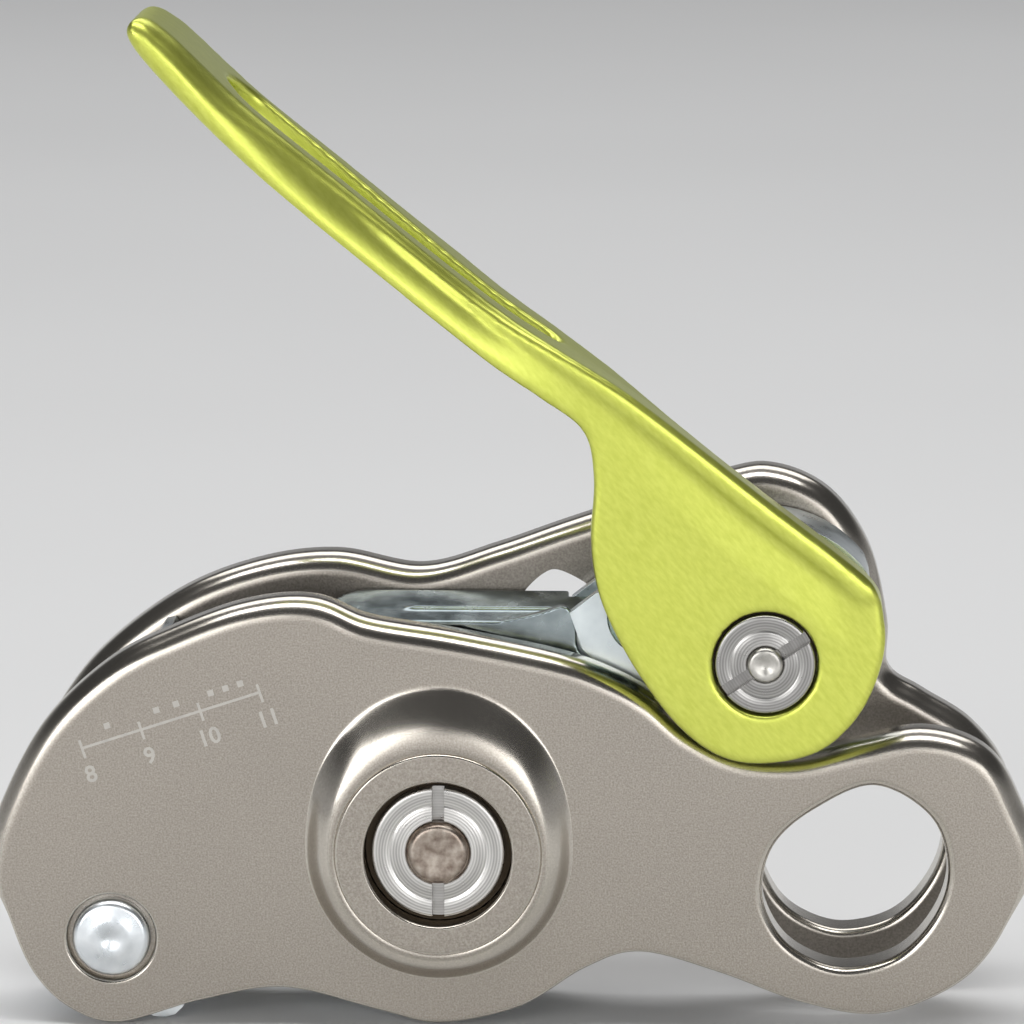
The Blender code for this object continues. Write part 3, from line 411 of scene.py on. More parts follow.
def fill(bm, rings):
    """Fill a flat face between an outer loop and the loops of its holes."""
    edges = []
    for ring in rings:
        edges += [bm.edges.get((ring[i - 1], ring[i])) or bm.edges.new((ring[i - 1], ring[i]))
                  for i in range(len(ring))]
    bmesh.ops.triangle_fill(bm, use_beauty=True, edges=edges, normal=Vector((0, -1, 0)))


def finish_mesh(bm, name, sharp=SHARP_ANGLE):
    """An object of a mesh, its faces turned outward and shaded smooth between sharp edges."""
    bmesh.ops.recalc_face_normals(bm, faces=bm.faces)
    if bm.calc_volume(signed=True) < 0:
        bmesh.ops.reverse_faces(bm, faces=bm.faces)
    mesh = bpy.data.meshes.new(name)
    bm.to_mesh(mesh)
    bm.free()
    mesh.shade_smooth()
    mesh.set_sharp_from_angle(angle=math.radians(sharp))
    made = bpy.data.objects.new(name, mesh)
    bpy.context.scene.collection.objects.link(made)
    return made


def weighted(piece):
    """Shade by the faces' sizes, so that flats next to rounds stay flat."""
    mod = piece.modifiers.new("weighted", "WEIGHTED_NORMAL")
    mod.keep_sharp = True
    mod.weight = NORMAL_WEIGHT
    return piece


def bevelled(piece, width, segments):
    """Round a piece's sharp edges, width in mm."""
    mod = piece.modifiers.new("round", "BEVEL")
    mod.width = width * MM
    mod.segments = segments
    mod.limit_method = "ANGLE"
    mod.angle_limit = math.radians(BEVEL_ANGLE)
    mod.harden_normals = True
    return piece


def prism(name, outline, y0, y1):
    """An outline (x, z) extruded from y0 to y1."""
    return slab(name, [at(p[0], y0, p[1]) for p in outline], Vector((0, (y1 - y0) * MM, 0)))


def slab(name, plan, rise):
    """A closed outline of points moved by a vector, both in metres."""
    bm = bmesh.new()
    face = bm.faces.new([bm.verts.new(p) for p in plan])
    grown = bmesh.ops.extrude_face_region(bm, geom=[face])
    moved = [v for v in grown["geom"] if isinstance(v, bmesh.types.BMVert)]
    bmesh.ops.translate(bm, verts=moved, vec=rise)
    bmesh.ops.triangulate(bm, faces=[f for f in bm.faces if len(f.verts) > 4])
    return finish_mesh(bm, name)


def turned(name, profile, centre=(0.0, 0.0), count=ROUND):
    """A solid turned about Y through the centre, from (radius, y) points round its section."""
    bm = bmesh.new()
    loops = [[at(p.x, y, p.y) for p in circle(max(r, POLE_R), count, centre)] for r, y in profile]
    if all(r > 0 for r, _ in profile):
        loops.append(loops[0])
    loft(bm, loops)
    bmesh.ops.remove_doubles(bm, verts=bm.verts, dist=WELD)
    return finish_mesh(bm, name)


def apply_modifiers(piece):
    """Replace a piece's mesh by what its modifiers make of it."""
    bpy.context.view_layer.update()
    evaluated = piece.evaluated_get(bpy.context.evaluated_depsgraph_get())
    mesh = bpy.data.meshes.new_from_object(evaluated)
    piece.modifiers.clear()
    piece.data = mesh
    return piece


def cut(piece, *cutters, operation="DIFFERENCE"):
    """Take each cutter from a piece, or keep what both share, and clean the mesh."""
    for cutter in cutters:
        mod = piece.modifiers.new("cut", "BOOLEAN")
        mod.operation = operation
        mod.solver = "EXACT"
        mod.object = cutter
        apply_modifiers(piece)
        bpy.data.objects.remove(cutter, do_unlink=True)
        clean = bmesh.new()
        clean.from_mesh(piece.data)
        bmesh.ops.remove_doubles(clean, verts=clean.verts, dist=WELD)
        bmesh.ops.dissolve_degenerate(clean, edges=clean.edges, dist=SLIVER)
        clean.to_mesh(piece.data)
        clean.free()
    piece.data.shade_smooth()
    piece.data.set_sharp_from_angle(angle=math.radians(CUT_SHARP_ANGLE))
    return piece


# Plates

def rim_section(weight):
    """Section round the rim, as (outward, depth): weight 0 is a flat edge, 1 a rim rolled back."""
    edge = RIM_ROUND
    flat = [(0, 0), (RIM_START, 0)] + arc((RIM_EDGE - edge, edge), edge, -90, 0, 8)
    flat += arc((RIM_EDGE - edge, PLATE_T - edge), edge, 0, 90, 6) + [(0, PLATE_T)]
    inner = BEND_R - PLATE_T
    lip = RIM_LIP
    rolled = arc((0, BEND_R), BEND_R, -90, 0, 10)
    rolled += arc((BEND_R - lip, RIM_DEPTH - lip), lip, 0, 90, 3)
    rolled += arc((inner + lip, RIM_DEPTH - lip), lip, 90, 180, 2)[1:]
    rolled += [(inner, BEND_R), (0, PLATE_T)]
    return [Vector(f).lerp(Vector(r), weight) for f, r in zip(flat, rolled)]


def rim_weight(z, bottom=-8.0, top=2.0):
    """How far the rim is rolled at height z: flat along the lower edge, rolled along the upper."""
    return ease((z - bottom) / (top - bottom))


def rim_loops(edge, face, rolled_inset):
    """Loops round a plate's rim. The upper edge's points lie rolled_inset outside its flat face."""
    outline = smooth_loop(edge, RIM_POINTS)
    normals = outward(outline)
    weights = [rim_weight(p.y) for p in outline]
    base = [p - n * (RIM_EDGE * (1 - w) + rolled_inset * w) for p, n, w in zip(outline, normals, weights)]
    sections = [rim_section(w) for w in weights]
    loops = []
    for k in range(len(sections[0])):
        spots = [p + n * s[k].x for p, n, s in zip(base, normals, sections)]
        loops.append([at(p.x, face + s[k].y, p.y) for p, s in zip(spots, sections)])
    return loops


def eye_loops(face):
    """Loops round the carabiner eye: rounded edge, drawn collar and back to the rear face."""
    edge = smooth_loop(EYE_EDGE, EYE_POINTS)
    normals = outward(edge)
    lip = COLLAR_LIP
    section = arc((COLLAR_EDGE, COLLAR_EDGE), COLLAR_EDGE, -90, -180, 7)
    section += arc((lip, COLLAR_DEPTH - lip), lip, 180, 90, 4)
    section += arc((COLLAR_WALL - lip, COLLAR_DEPTH - lip), lip, 90, 0, 3) + [(COLLAR_WALL, PLATE_T)]
    return [[at(p.x + n.x * o, face + d, p.y + n.y * o) for p, n in zip(edge, normals)] for o, d in section]


def hub_loops(face):
    """The raised boss: short fillet, full rounded shoulder, flat ring and rounded hole."""
    angles = [2 * math.pi * i / HUB_POINTS for i in range(HUB_POINTS)]
    rows = []
    for k in range(HUB_ROWS + 1):
        t = k / HUB_ROWS
        rise = t * t / (t + BOSS_FILLET) * (1 + BOSS_FILLET)
        rows.append((BOSS_FILLET_WIDTH * t, BOSS_FILLET_HEIGHT * math.sin(math.pi / 2 * rise)))
    section = []
    for t, h in rows:
        row = []
        for a in angles:
            foot = BOSS_FOOT_R + BOSS_FOOT_TOP * max(0.0, math.sin(a)) ** 2
            row.append((foot + (BOSS_R - foot) * t, -BOSS_HEIGHT * h))
        section.append(row)
    shoulder = BOSS_SHOULDER
    top = arc((BOSS_R - STACK_GAP - shoulder, shoulder - BOSS_HEIGHT), shoulder, 0, -90, 4)
    edge = BOSS_HOLE_EDGE
    hole = arc((BOSS_HOLE_R + edge, edge - BOSS_HEIGHT), edge, -90, -180, 4)
    section += [[row] * HUB_POINTS for row in top + hole + [(BOSS_HOLE_R, PLATE_T)]]
    return [[at(r * math.cos(a), face + y, r * math.sin(a)) for (r, y), a in zip(row, angles)]
            for row in section]


def hole_loops(section, face, centre):
    """Loops of a round hole, from its section's rows of (radius, depth)."""
    return [[at(p.x, face + d, p.y) for p in circle(r, HOLE_POINTS, centre)] for r, d in section]


def plate(name, features):
    """A plate from its features' loops, each running from the front face to the rear face."""
    bm = bmesh.new()
    rings = [loft(bm, loops) for loops in features]
    fill(bm, [r[0] for r in rings])
    fill(bm, [r[-1] for r in rings])
    return finish_mesh(bm, name, PLATE_SHARP_ANGLE)


def make_front_plate():
    """Front plate with its boss, eye and rivet recess."""
    wide, deep = RIVET_RECESS
    edge = RIVET_RECESS_EDGE
    bore = RIVET_R + RUN_FIT
    recess = arc((wide + edge, edge), edge, -90, -180, 4)
    recess += [(wide - RIVET_RECESS_DRAFT, deep), (bore, deep), (bore, PLATE_T)]
    features = [
        rim_loops(lobe(LOWER_LOBE) + LOWER_EDGE + FRONT_TOP_EDGE + lobe(FRONT_LOBE), 0.0, 0.0),
        hub_loops(0.0), eye_loops(0.0), hole_loops(recess, 0.0, RIVET_AT),
    ]
    piece = weighted(plate("front_plate_skin", features))
    dress(piece, "plate", "frame", "front_plate")


def make_back_plate():
    """Back plate with its taller dome, window and eye."""
    edge = smooth_loop(WINDOW_EDGE, WINDOW_POINTS)
    normals = outward(edge)
    lip = WINDOW_LIP
    section = arc((lip, lip), lip, -90, -180, 3) + arc((lip, PLATE_T - lip), lip, 180, 90, 3)
    window = [[at(p.x + n.x * o, BACK_FACE + d, p.y + n.y * o) for p, n in zip(edge, normals)]
              for o, d in section]
    features = [
        rim_loops(lobe(LOWER_LOBE) + LOWER_EDGE + BACK_TOP_EDGE + lobe(BACK_LOBE), BACK_FACE, BEND_R),
        hole_loops([(BACK_BORE, 0), (BACK_BORE, PLATE_T)], BACK_FACE, (0, 0)),
        eye_loops(BACK_FACE), window,
    ]
    piece = plate("back_plate_skin", features)
    start = math.degrees(math.atan2(RIVET_AT[1], RIVET_AT[0])) % 360
    sweep = [start + (NOTCH_END - start) * i / NOTCH_STEPS for i in range(NOTCH_STEPS + 1)]
    notch = [polar(a, NOTCH_REACH + NOTCH_HALF) for a in sweep]
    notch += [polar(a, NOTCH_REACH - NOTCH_HALF) for a in reversed(sweep)]
    notch += [polar(start - 180 + 180 * i / END_STEPS, NOTCH_HALF, RIVET_AT) for i in range(1, END_STEPS)]
    cut(piece, prism("notch", notch, BACK_FACE - PAST, BACK_FACE + PLATE_T + PAST))
    # The back plate takes a darker copy of the plate finish: painted shade between the plates.
    dress(weighted(piece), "plate_painted_shade", "side_plate", "back_plate")


# Handle

def make_handle():
    """Cheek and channel arm, softened as a forged and anodised lever is."""
    front = HANDLE_FRONT - BEAD_H
    cheek_back = HANDLE_FRONT + CHEEK_T
    piece = prism("handle_skin", smooth_loop(ARM_LOWER_EDGE + ARM_TOP_EDGE, HANDLE_POINTS), front, ARM_BACK)
    top = [Vector(p) for p in ARM_TOP_EDGE]
    slope = (top[-1] - top[0]).normalized()
    inward = Vector((-slope.y, slope.x))
    under = [p + inward * WEB_T for p in top[:-1]]
    start = under[0] - slope * HOLLOW_START
    tip = top[-1] - slope * WEB_T * HOLLOW_TIP + inward * WEB_T
    hollow = [start] + under[1:] + [tip, tip + inward * HOLLOW_DROP] + HOLLOW_BELOW
    cavity = prism("cavity", hollow, cheek_back, ARM_BACK)
    ends = (ARM_REAR[0][0], ARM_REAR[-1][0])
    inner = [(x, y - SKIRT_T) for x, y in ARM_REAR]
    inner = [(ends[0], cheek_back - PAST)] + inner + [(ends[1], cheek_back - PAST)]
    cut(cavity, plan_slab("cavity_plan", inner), operation="INTERSECT")
    behind = [start] + under[1:4] + [under[3] + Vector(BEHIND_STEP)] + BEHIND_BELOW
    behind = prism("behind", behind, cheek_back, ARM_BACK + PAST)
    rear = plan_slab("rear", [(ends[0], ARM_BACK + PAST)] + ARM_REAR + [(ends[1], ARM_BACK + PAST)])
    hole = prism("hole", circle(HANDLE_HOLE_R, ROUND, HANDLE_AT), front - PAST, ARM_BACK + PAST)
    cut(piece, hole, cavity, behind, rear, arm_slot())
    turn = Matrix.Rotation(math.atan2(-slope.y, -slope.x), 4, "Y")
    remesh(piece, VOXEL, LIGHT_SOFTENING, turn)
    shape_front(piece, -inward)
    remesh(piece, FINE_VOXEL, SOFTENING, turn)
    dress(piece, "lime", "lever", "handle")


def plan_slab(name, plan):
    """A tall solid over a plan (x, y)."""
    return slab(name, [at(x, y, 0) for x, y in plan], Vector((0, 0, TALL * MM)))


def arm_slot():
    """Cutter of the long slot through the arm's web, wide at the tip's end."""
    first, last = Vector(SLOT_ENDS[0]), Vector(SLOT_ENDS[1])
    length = (last - first).length
    wide, narrow = SLOT_HALF
    plan = [polar(90 + i * 15, wide, (wide, SLOT_FRONT + wide)) for i in range(13)]
    plan += [polar(270 + i * 15, narrow, (length - narrow, SLOT_FRONT + narrow)) for i in range(13)]
    along = (last - first).normalized()
    normal = Vector((-along.y, along.x))
    spots = [first + along * p.x - normal * SLOT_REACH for p in plan]
    low = [at(s.x, p.y, s.y) for s, p in zip(spots, plan)]
    return slab("arm_slot", low, Vector((normal.x, 0, normal.y)) * 2 * SLOT_REACH * MM)


def along_x(table, x):
    """A value read between the table's rows of (x, value)."""
    for (x0, v0), (x1, v1) in zip(table, table[1:]):
        if x <= x1:
            return v0 + (v1 - v0) * ease((x - x0) / (x1 - x0))
    return table[-1][1]


def tree_of(outline):
    """Search tree of an outline's points, for the nearest one."""
    tree = KDTree(len(outline))
    for i, p in enumerate(outline):
        tree.insert((p.x, 0, p.y), i)
    tree.balance()
    return tree


def edge_drop(inside, radius):
    """How far back a rounded edge's surface lies at a distance inside the outline."""
    reach = max(0.0, radius - inside)
    return radius - math.sqrt(radius * radius - reach * reach)


def front_level(x, inside, below):
    """Depth of the handle's front, from the distances inside its top and its lower edge."""
    width = along_x(BEAD_WIDTH, x)
    height = inside + below
    past = ease((inside - width) / FLANK)
    level = HANDLE_FRONT - along_x(BEAD_RISE, x) * (1 - past)
    level += along_x(HOLLOW_DEPTH, x) * past * max(0.0, 1 - max(0.0, inside - width - FLANK) / HOLLOW_WIDTH)
    above = 1 - inside / height
    level += along_x(SLANT, x) * above + along_x(CURVE, x) * above * above
    level += along_x(BULGE, x) * ((above + BULGE_AT - 1) / BULGE_AT) ** 2
    return level + max(edge_drop(inside, along_x(TOP_ROUND, x)), edge_drop(below, along_x(LOW_ROUND, x)))


def shape_front(piece, up):
    """Press the handle's front into shape and lean the cheek's top to the rear."""
    fine = spline(ARM_LOWER_EDGE + ARM_TOP_EDGE, SHAPE_STEPS)
    turn = len(ARM_LOWER_EDGE) * SHAPE_STEPS
    low_tree = tree_of(fine[:turn])
    top_tree = tree_of(fine[turn:])
    lean_back = ARM_REAR[-1][1]
    for vertex in piece.data.vertices:
        x, z = vertex.co.x / MM, vertex.co.z / MM
        inside = top_tree.find((x, 0, z))[2]
        below = low_tree.find((x, 0, z))[2]
        y = max(vertex.co.y / MM - AXLE_PROUD, front_level(x, inside, below))
        lean = along_x(TOP_LEAN, x) * ease(1 - inside / LEAN_REACH)
        lean *= max(0.0, (lean_back - y) / (lean_back - HANDLE_FRONT))
        vertex.co = at(x + up.x * lean, y, z + up.y * lean)


def remesh(piece, voxel, smooth, turn=None):
    """Give a closed mesh even faces along a direction, and soften its edges."""
    turn = turn or Matrix.Identity(4)
    piece.data.transform(turn)
    even = piece.modifiers.new("even", "REMESH")
    even.mode = "VOXEL"
    even.voxel_size = voxel * MM
    even.use_smooth_shade = True
    soft = piece.modifiers.new("soft", "SMOOTH")
    soft.factor = SOFT_FACTOR
    soft.iterations = smooth
    apply_modifiers(piece)
    piece.data.transform(turn.inverted())
    piece.data.shade_smooth()


# Turned pieces

def disc_profile(radius, bore, face, back, groove):
    """Section of a slotted disc with rounded rims and a shallow ring groove."""
    edge = DISC_EDGE
    low = face + DISC_GROOVE_DEPTH
    profile = [(bore, back), (bore, low), (bore + DISC_GROOVE_DEPTH, face)]
    profile += [(groove - DISC_GROOVE_HALF, face), (groove, low), (groove + DISC_GROOVE_HALF, face)]
    profile += arc((radius - edge, face + edge), edge, -90, 0, 4)
    profile += [(radius, back - DISC_BACK_EDGE), (radius - DISC_BACK_EDGE, back)]
    return profile


def slot_cutter(centre, radius, face, angle):
    """Cutter of a straight screwdriver slot across a disc."""
    plan = [(-radius, -SLOT_W / 2), (radius, -SLOT_W / 2), (radius, SLOT_W / 2), (-radius, SLOT_W / 2)]
    spin = math.radians(angle)
    turned_plan = [(centre[0] + x * math.cos(spin) - y * math.sin(spin),
                    centre[1] + x * math.sin(spin) + y * math.cos(spin)) for x, y in plan]
    return prism("screw_slot", turned_plan, face - PAST, face + SLOT_DEPTH)


def make_hub():
    """Slotted disc of the hub and the main axle with its riveted end."""
    bore = AXLE_NECK_R + RUN_FIT
    nut = turned("main_nut_skin", disc_profile(NUT_R, bore, NUT_FACE, NUT_BACK, NUT_GROOVE_R))
    cut(nut, slot_cutter((0, 0), NUT_R + PAST, NUT_FACE, 90))
    dress(bevelled(nut, NUT_BEVEL, 2), "turned", "frame", "main_nut")
    end = AXLE_HEAD_START + AXLE_HEAD_T
    neck = NUT_BACK + STACK_GAP
    profile = AXLE_FACE + arc((AXLE_FACE_EDGE_AT, AXLE_END + AXLE_FACE_EDGE), AXLE_FACE_EDGE, -90, 0, 6)
    profile += [(AXLE_NECK_R, NUT_FACE), (AXLE_NECK_R, neck), (AXLE_R, neck), (AXLE_R, AXLE_HEAD_START),
                (AXLE_HEAD_R, AXLE_HEAD_START)]
    profile += arc((AXLE_HEAD_R - AXLE_HEAD_EDGE, end - AXLE_HEAD_EDGE), AXLE_HEAD_EDGE, 0, 90, 6)
    profile.append((0, end))
    dress(turned("main_axle_skin", profile), "axle", "frame", "main_axle")


def make_pad_rivet():
    """Domed rivet that fixes the pad."""
    tail = BACK_FACE + PLATE_T + RIVET_TAIL
    edge = RIVET_TAIL_EDGE
    shoulder = (RIVET_HEAD_R - RIVET_DOME_EDGE, RIVET_DOME_EDGE_AT)
    profile = RIVET_DOME + arc(shoulder, RIVET_DOME_EDGE, -80, 0, 7)
    profile += [(RIVET_HEAD_R, RIVET_SEAT), (RIVET_R, RIVET_SEAT), (RIVET_R, tail - edge)]
    profile += arc((RIVET_R - edge, tail - edge), edge, 0, 90, 4) + [(0, tail)]
    dress(turned("pad_rivet_skin", profile, RIVET_AT), "bright", "frame", "pad_rivet")


def make_handle_axle():
    """Slotted disc in the handle's cheek and the axle with its riveted end."""
    back = HANDLE_FRONT + HANDLE_NUT_T
    radius = HANDLE_NUT_R + HANDLE_NUT_GROWTH
    bore = HANDLE_AXLE_NECK_R + RUN_FIT
    nut = disc_profile(radius, bore, HANDLE_FRONT, back, HANDLE_GROOVE_R)
    nut = turned("handle_nut_skin", nut, HANDLE_AT)
    cut(nut, slot_cutter(HANDLE_AT, HANDLE_NUT_R + PAST, HANDLE_FRONT, HANDLE_NUT_TURN))
    dress(bevelled(nut, HANDLE_NUT_BEVEL, 2), "turned_handle", "cam_unit", "handle_nut")
    proud = HANDLE_AXLE_PROUD
    end = HANDLE_FRONT - proud
    profile = [(r, end + depth) for r, depth in HANDLE_AXLE_DIMPLE]
    profile += arc((HANDLE_AXLE_NECK_R - proud, end + proud), proud, -90, 0, 5)
    neck = back + STACK_GAP
    profile += [(HANDLE_AXLE_NECK_R, neck), (HANDLE_AXLE_R, neck),
                (HANDLE_AXLE_R, BRACKET_BACK - HANDLE_AXLE_EDGE),
                (HANDLE_AXLE_R - HANDLE_AXLE_EDGE, BRACKET_BACK), (0, BRACKET_BACK)]
    dress(turned("handle_axle_skin", profile, HANDLE_AT), "pin", "cam_unit", "handle_axle")


# Zinc pieces

def make_bracket():
    """Folded zinc bracket: two cheeks and the web round the handle's axle."""
    edge = BRACKET_EDGE + bracket_arc(BRACKET_SWEEP, 0.0)
    piece = prism("cam_bracket_skin", edge, BRACKET_FRONT, BRACKET_BACK)
    pocket = bracket_arc(POCKET_SWEEP, BRACKET_T) + BRACKET_OPEN
    front = BRACKET_FRONT + BRACKET_T
    cut(piece, prism("pocket", pocket, front, BRACKET_BACK - BRACKET_T))
    drill(piece, HANDLE_AT, HANDLE_AXLE_R, BRACKET_FRONT, BRACKET_BACK)
    for centre in BRACKET_RIVETS:
        drill(piece, centre, BRACKET_RIVET_R, BRACKET_FRONT, BRACKET_BACK)
    dress(bevelled(piece, BRACKET_BEVEL, 4), "zinc", "cam_unit", "cam_bracket")


def drill(piece, centre, radius, y0, y1):
    """Cut a pin's hole from y0 to y1 and past both."""
    cut(piece, prism("hole", circle(radius + RUN_FIT, SMALL_ROUND, centre), y0 - PAST, y1 + PAST))


def bracket_arc(angles, inset):
    """Arc round the handle's axle, flattened at its right and drawn in low down."""
    spots = []
    for angle in angles:
        drawn_in = BRACKET_DRAWN_IN * ease(-angle / BRACKET_DRAWN_OVER)
        spot = polar(angle, BRACKET_R - inset - drawn_in, HANDLE_AT)
        spots.append(Vector((min(spot.x, BRACKET_RIGHT - inset), spot.y)))
    return spots


def make_leaf():
    """Tongue with a round tip, a top that falls to the front, a pressed rib and a flared front."""
    y0, y1 = LEAF_MID - LEAF_HALF_W, LEAF_MID + LEAF_HALF_W
    root0, root1 = LEAF_ROOT_SIDES
    plan = [(LEAF_ROOT, root0), (LEAF_ROOT, root1), (LEAF_SHOULDER, root1), (LEAF_SHOULDER, y1),
            (LEAF_TIP, y1)]
    plan += [tuple(polar(90 + 9 * i, LEAF_HALF_W, (LEAF_TIP, LEAF_MID))) for i in range(1, 20)]
    plan += [(LEAF_TIP, y0), (LEAF_SHOULDER, y0), (LEAF_SHOULDER, root0)]
    low = LEAF_TOP - LEAF_T
    leaf = slab("rope_leaf_skin", [at(x, y, low) for x, y in plan], Vector((0, 0, LEAF_T * MM)))
    past = LEAF_TOP + PAST
    drop = [(y0 - PAST, LEAF_FRONT), (y0, LEAF_FRONT), (y1, LEAF_TOP), (y1, past), (y0 - PAST, past)]
    cut(leaf, slab("slope", [at(-LEAF_REACH, y, z) for y, z in drop], Vector((2 * LEAF_REACH * MM, 0, 0))))
    edge = smooth_loop(FLARE_EDGE, FLARE_POINTS)
    cut(leaf, prism("flare", edge, y0, y0 + FLARE_T), operation="UNION")
    remesh(leaf, LEAF_VOXEL, LEAF_SOFTENING)
    raise_rib(leaf)
    dress(leaf, "leaf", "cam_unit", "rope_leaf")


def raise_rib(leaf):
    """Lift the pressed rib along the middle of the leaf."""
    middle = LEAF_MID - RIB_OFF_MIDDLE
    first, last = RIB_ENDS
    for vertex in leaf.data.vertices:
        x, y, z = vertex.co.x / MM, vertex.co.y / MM - AXLE_PROUD, vertex.co.z / MM
        end = min(1.0, max(0.0, (x - first) / RIB_RUN_OUT)) * min(1.0, max(0.0, (last - x) / RIB_RUN_OUT))
        across = abs(y - middle)
        if z >= LEAF_FRONT - 0.3 and across <= RIB_REACH:
            vertex.co.z += RIB_HEIGHT * math.exp(-(across / RIB_WIDTH) ** 2) * end * MM


def make_stud():
    """Round stud on the bracket, hollow in front and with a groove near its foot."""
    y1 = BRACKET_FRONT - HAIR
    y0 = y1 - STUD_LENGTH
    profile = [(r, y0 + depth) for r, depth in STUD_DIMPLE]
    profile += arc((STUD_R - STUD_EDGE, y0 + STUD_EDGE), STUD_EDGE, -90, 0, 5)
    profile += [(STUD_R - depth, y1 - rise) for rise, depth in STUD_GROOVE] + [(STUD_R, y1), (0, y1)]
    dress(turned("drive_stud_skin", profile, STUD_AT, STUD_ROUND), "stud", "cam_unit", "drive_stud")


def make_pad():
    """Brake pad: an arc round the main axle inside and the plates' lobe outside."""
    outer = lobe(PAD_LOBE)
    first = math.degrees(math.atan2(outer[-1][1], outer[-1][0]))
    last = math.degrees(math.atan2(outer[0][1], outer[0][0])) + 360
    inner = [polar(first + (last - first) * i / PAD_STEPS, PAD_R) for i in range(PAD_STEPS + 1)]
    corners = [tuple(polar(angle, PAD_R + PAD_CORNER)) for angle in (last, first)]
    left = [p for p in smooth_loop(outer + corners, PAD_POINTS) if p.length > PAD_R + PAD_CLEAR]
    start = min(range(len(left)), key=lambda i: (left[i] - inner[-1]).length)
    piece = prism("brake_pad_skin", inner + left[start:] + left[:start], GAP_START, GAP_END)
    drill(piece, RIVET_AT, RIVET_R, GAP_START, GAP_END)
    drill(piece, DOWEL_AT, DOWEL_R, GAP_START, GAP_END)
    dress(bevelled(piece, PAD_BEVEL, 4), "bright", "frame", "brake_pad")


# Marks

def make_marks():
    """Plain rope scale engraved beside the hub: a line, ticks, dots and numbers."""
    first, last = Vector(SCALE_START), Vector(SCALE_END)
    along = (last - first).normalized()
    up = Vector((-along.y, along.x))
    length = (last - first).length
    bm = bmesh.new()

    def bar(a, b, width, proud):
        side = (b - a).normalized().orthogonal() * width / 2
        corners = [a - side, b - side, b + side, a + side]
        low = [bm.verts.new(at(c.x, -proud, c.y)) for c in corners]
        high = [bm.verts.new(at(c.x, SCALE_SUNK, c.y)) for c in corners]
        bm.faces.new(low)
        bm.faces.new(high[::-1])
        for i in range(4):
            j = (i + 1) % 4
            bm.faces.new((low[j], low[i], high[i], high[j]))

    bar(first, last, SCALE_STROKE, LINE_PROUD)
    thirds = [first + along * (length * k / 3) for k in range(4)]
    for spot in thirds:
        bar(spot + up * TICK[0], spot + up * TICK[1], SCALE_STROKE, TICK_PROUD)
    for k in range(3):
        for n in range(k + 1):
            spot = thirds[k] + along * (length / 3 * (n + 1) / (k + 2)) + up * DOT_RISE
            bar(spot - along * DOT / 2, spot + along * DOT / 2, DOT, LINE_PROUD)
    marks = finish_mesh(bm, "scale_marks")
    marks.data.materials.append(MATERIALS["mark"])
    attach(marks, "frame")
    for label, spot in zip(SCALE_NUMBERS, thirds):
        number_mark(label, spot - up * NUMBER_DROP, math.atan2(along.y, along.x))


def number_mark(label, spot, angle):
    """A number of the scale as a mesh, from Blender's own font."""
    text = bpy.data.curves.new("number", "FONT")
    text.body = label
    text.size = NUMBER_SIZE * MM
    text.offset = NUMBER_WEIGHT * MM
    text.align_x = "CENTER"
    text.align_y = "CENTER"
    text.extrude = NUMBER_DEPTH * MM
    text.resolution_u = 3
    holder = bpy.data.objects.new("number", text)
    bpy.context.scene.collection.objects.link(holder)
    holder.rotation_euler = (math.pi / 2, -angle, 0)
    holder.location = at(spot.x, NUMBER_LEVEL, spot.y)
    bpy.context.view_layer.update()
    mesh = bpy.data.meshes.new_from_object(holder.evaluated_get(bpy.context.evaluated_depsgraph_get()))
    mesh.transform(holder.matrix_world)
    bpy.data.objects.remove(holder, do_unlink=True)
    made = bpy.data.objects.new("scale_number_" + label, mesh)
    bpy.context.scene.collection.objects.link(made)
    mesh.materials.clear()
    mesh.materials.append(MATERIALS["mark"])
    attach(made, "frame")


# Materials

SPECK = (0.3, 0.7)
BLASTED = ((0.30, 0.27, 0.235), (0.43, 0.395, 0.35))
# Rim colour brighter than the flats: a painted highlight on the rolled rims.
RIM_HIGHLIGHT = ((0.50, 0.465, 0.41), (0.60, 0.56, 0.50))
LIME = ((0.57, 0.62, 0.10), (0.65, 0.70, 0.135))
TURNED = ((0.34, 0.33, 0.32), (0.60, 0.59, 0.57))
FLOOR = ((0.82, 0.82, 0.82), (0.86, 0.86, 0.86))
FINE_RINGS = 21000.0
BROAD_RINGS = 3900.0


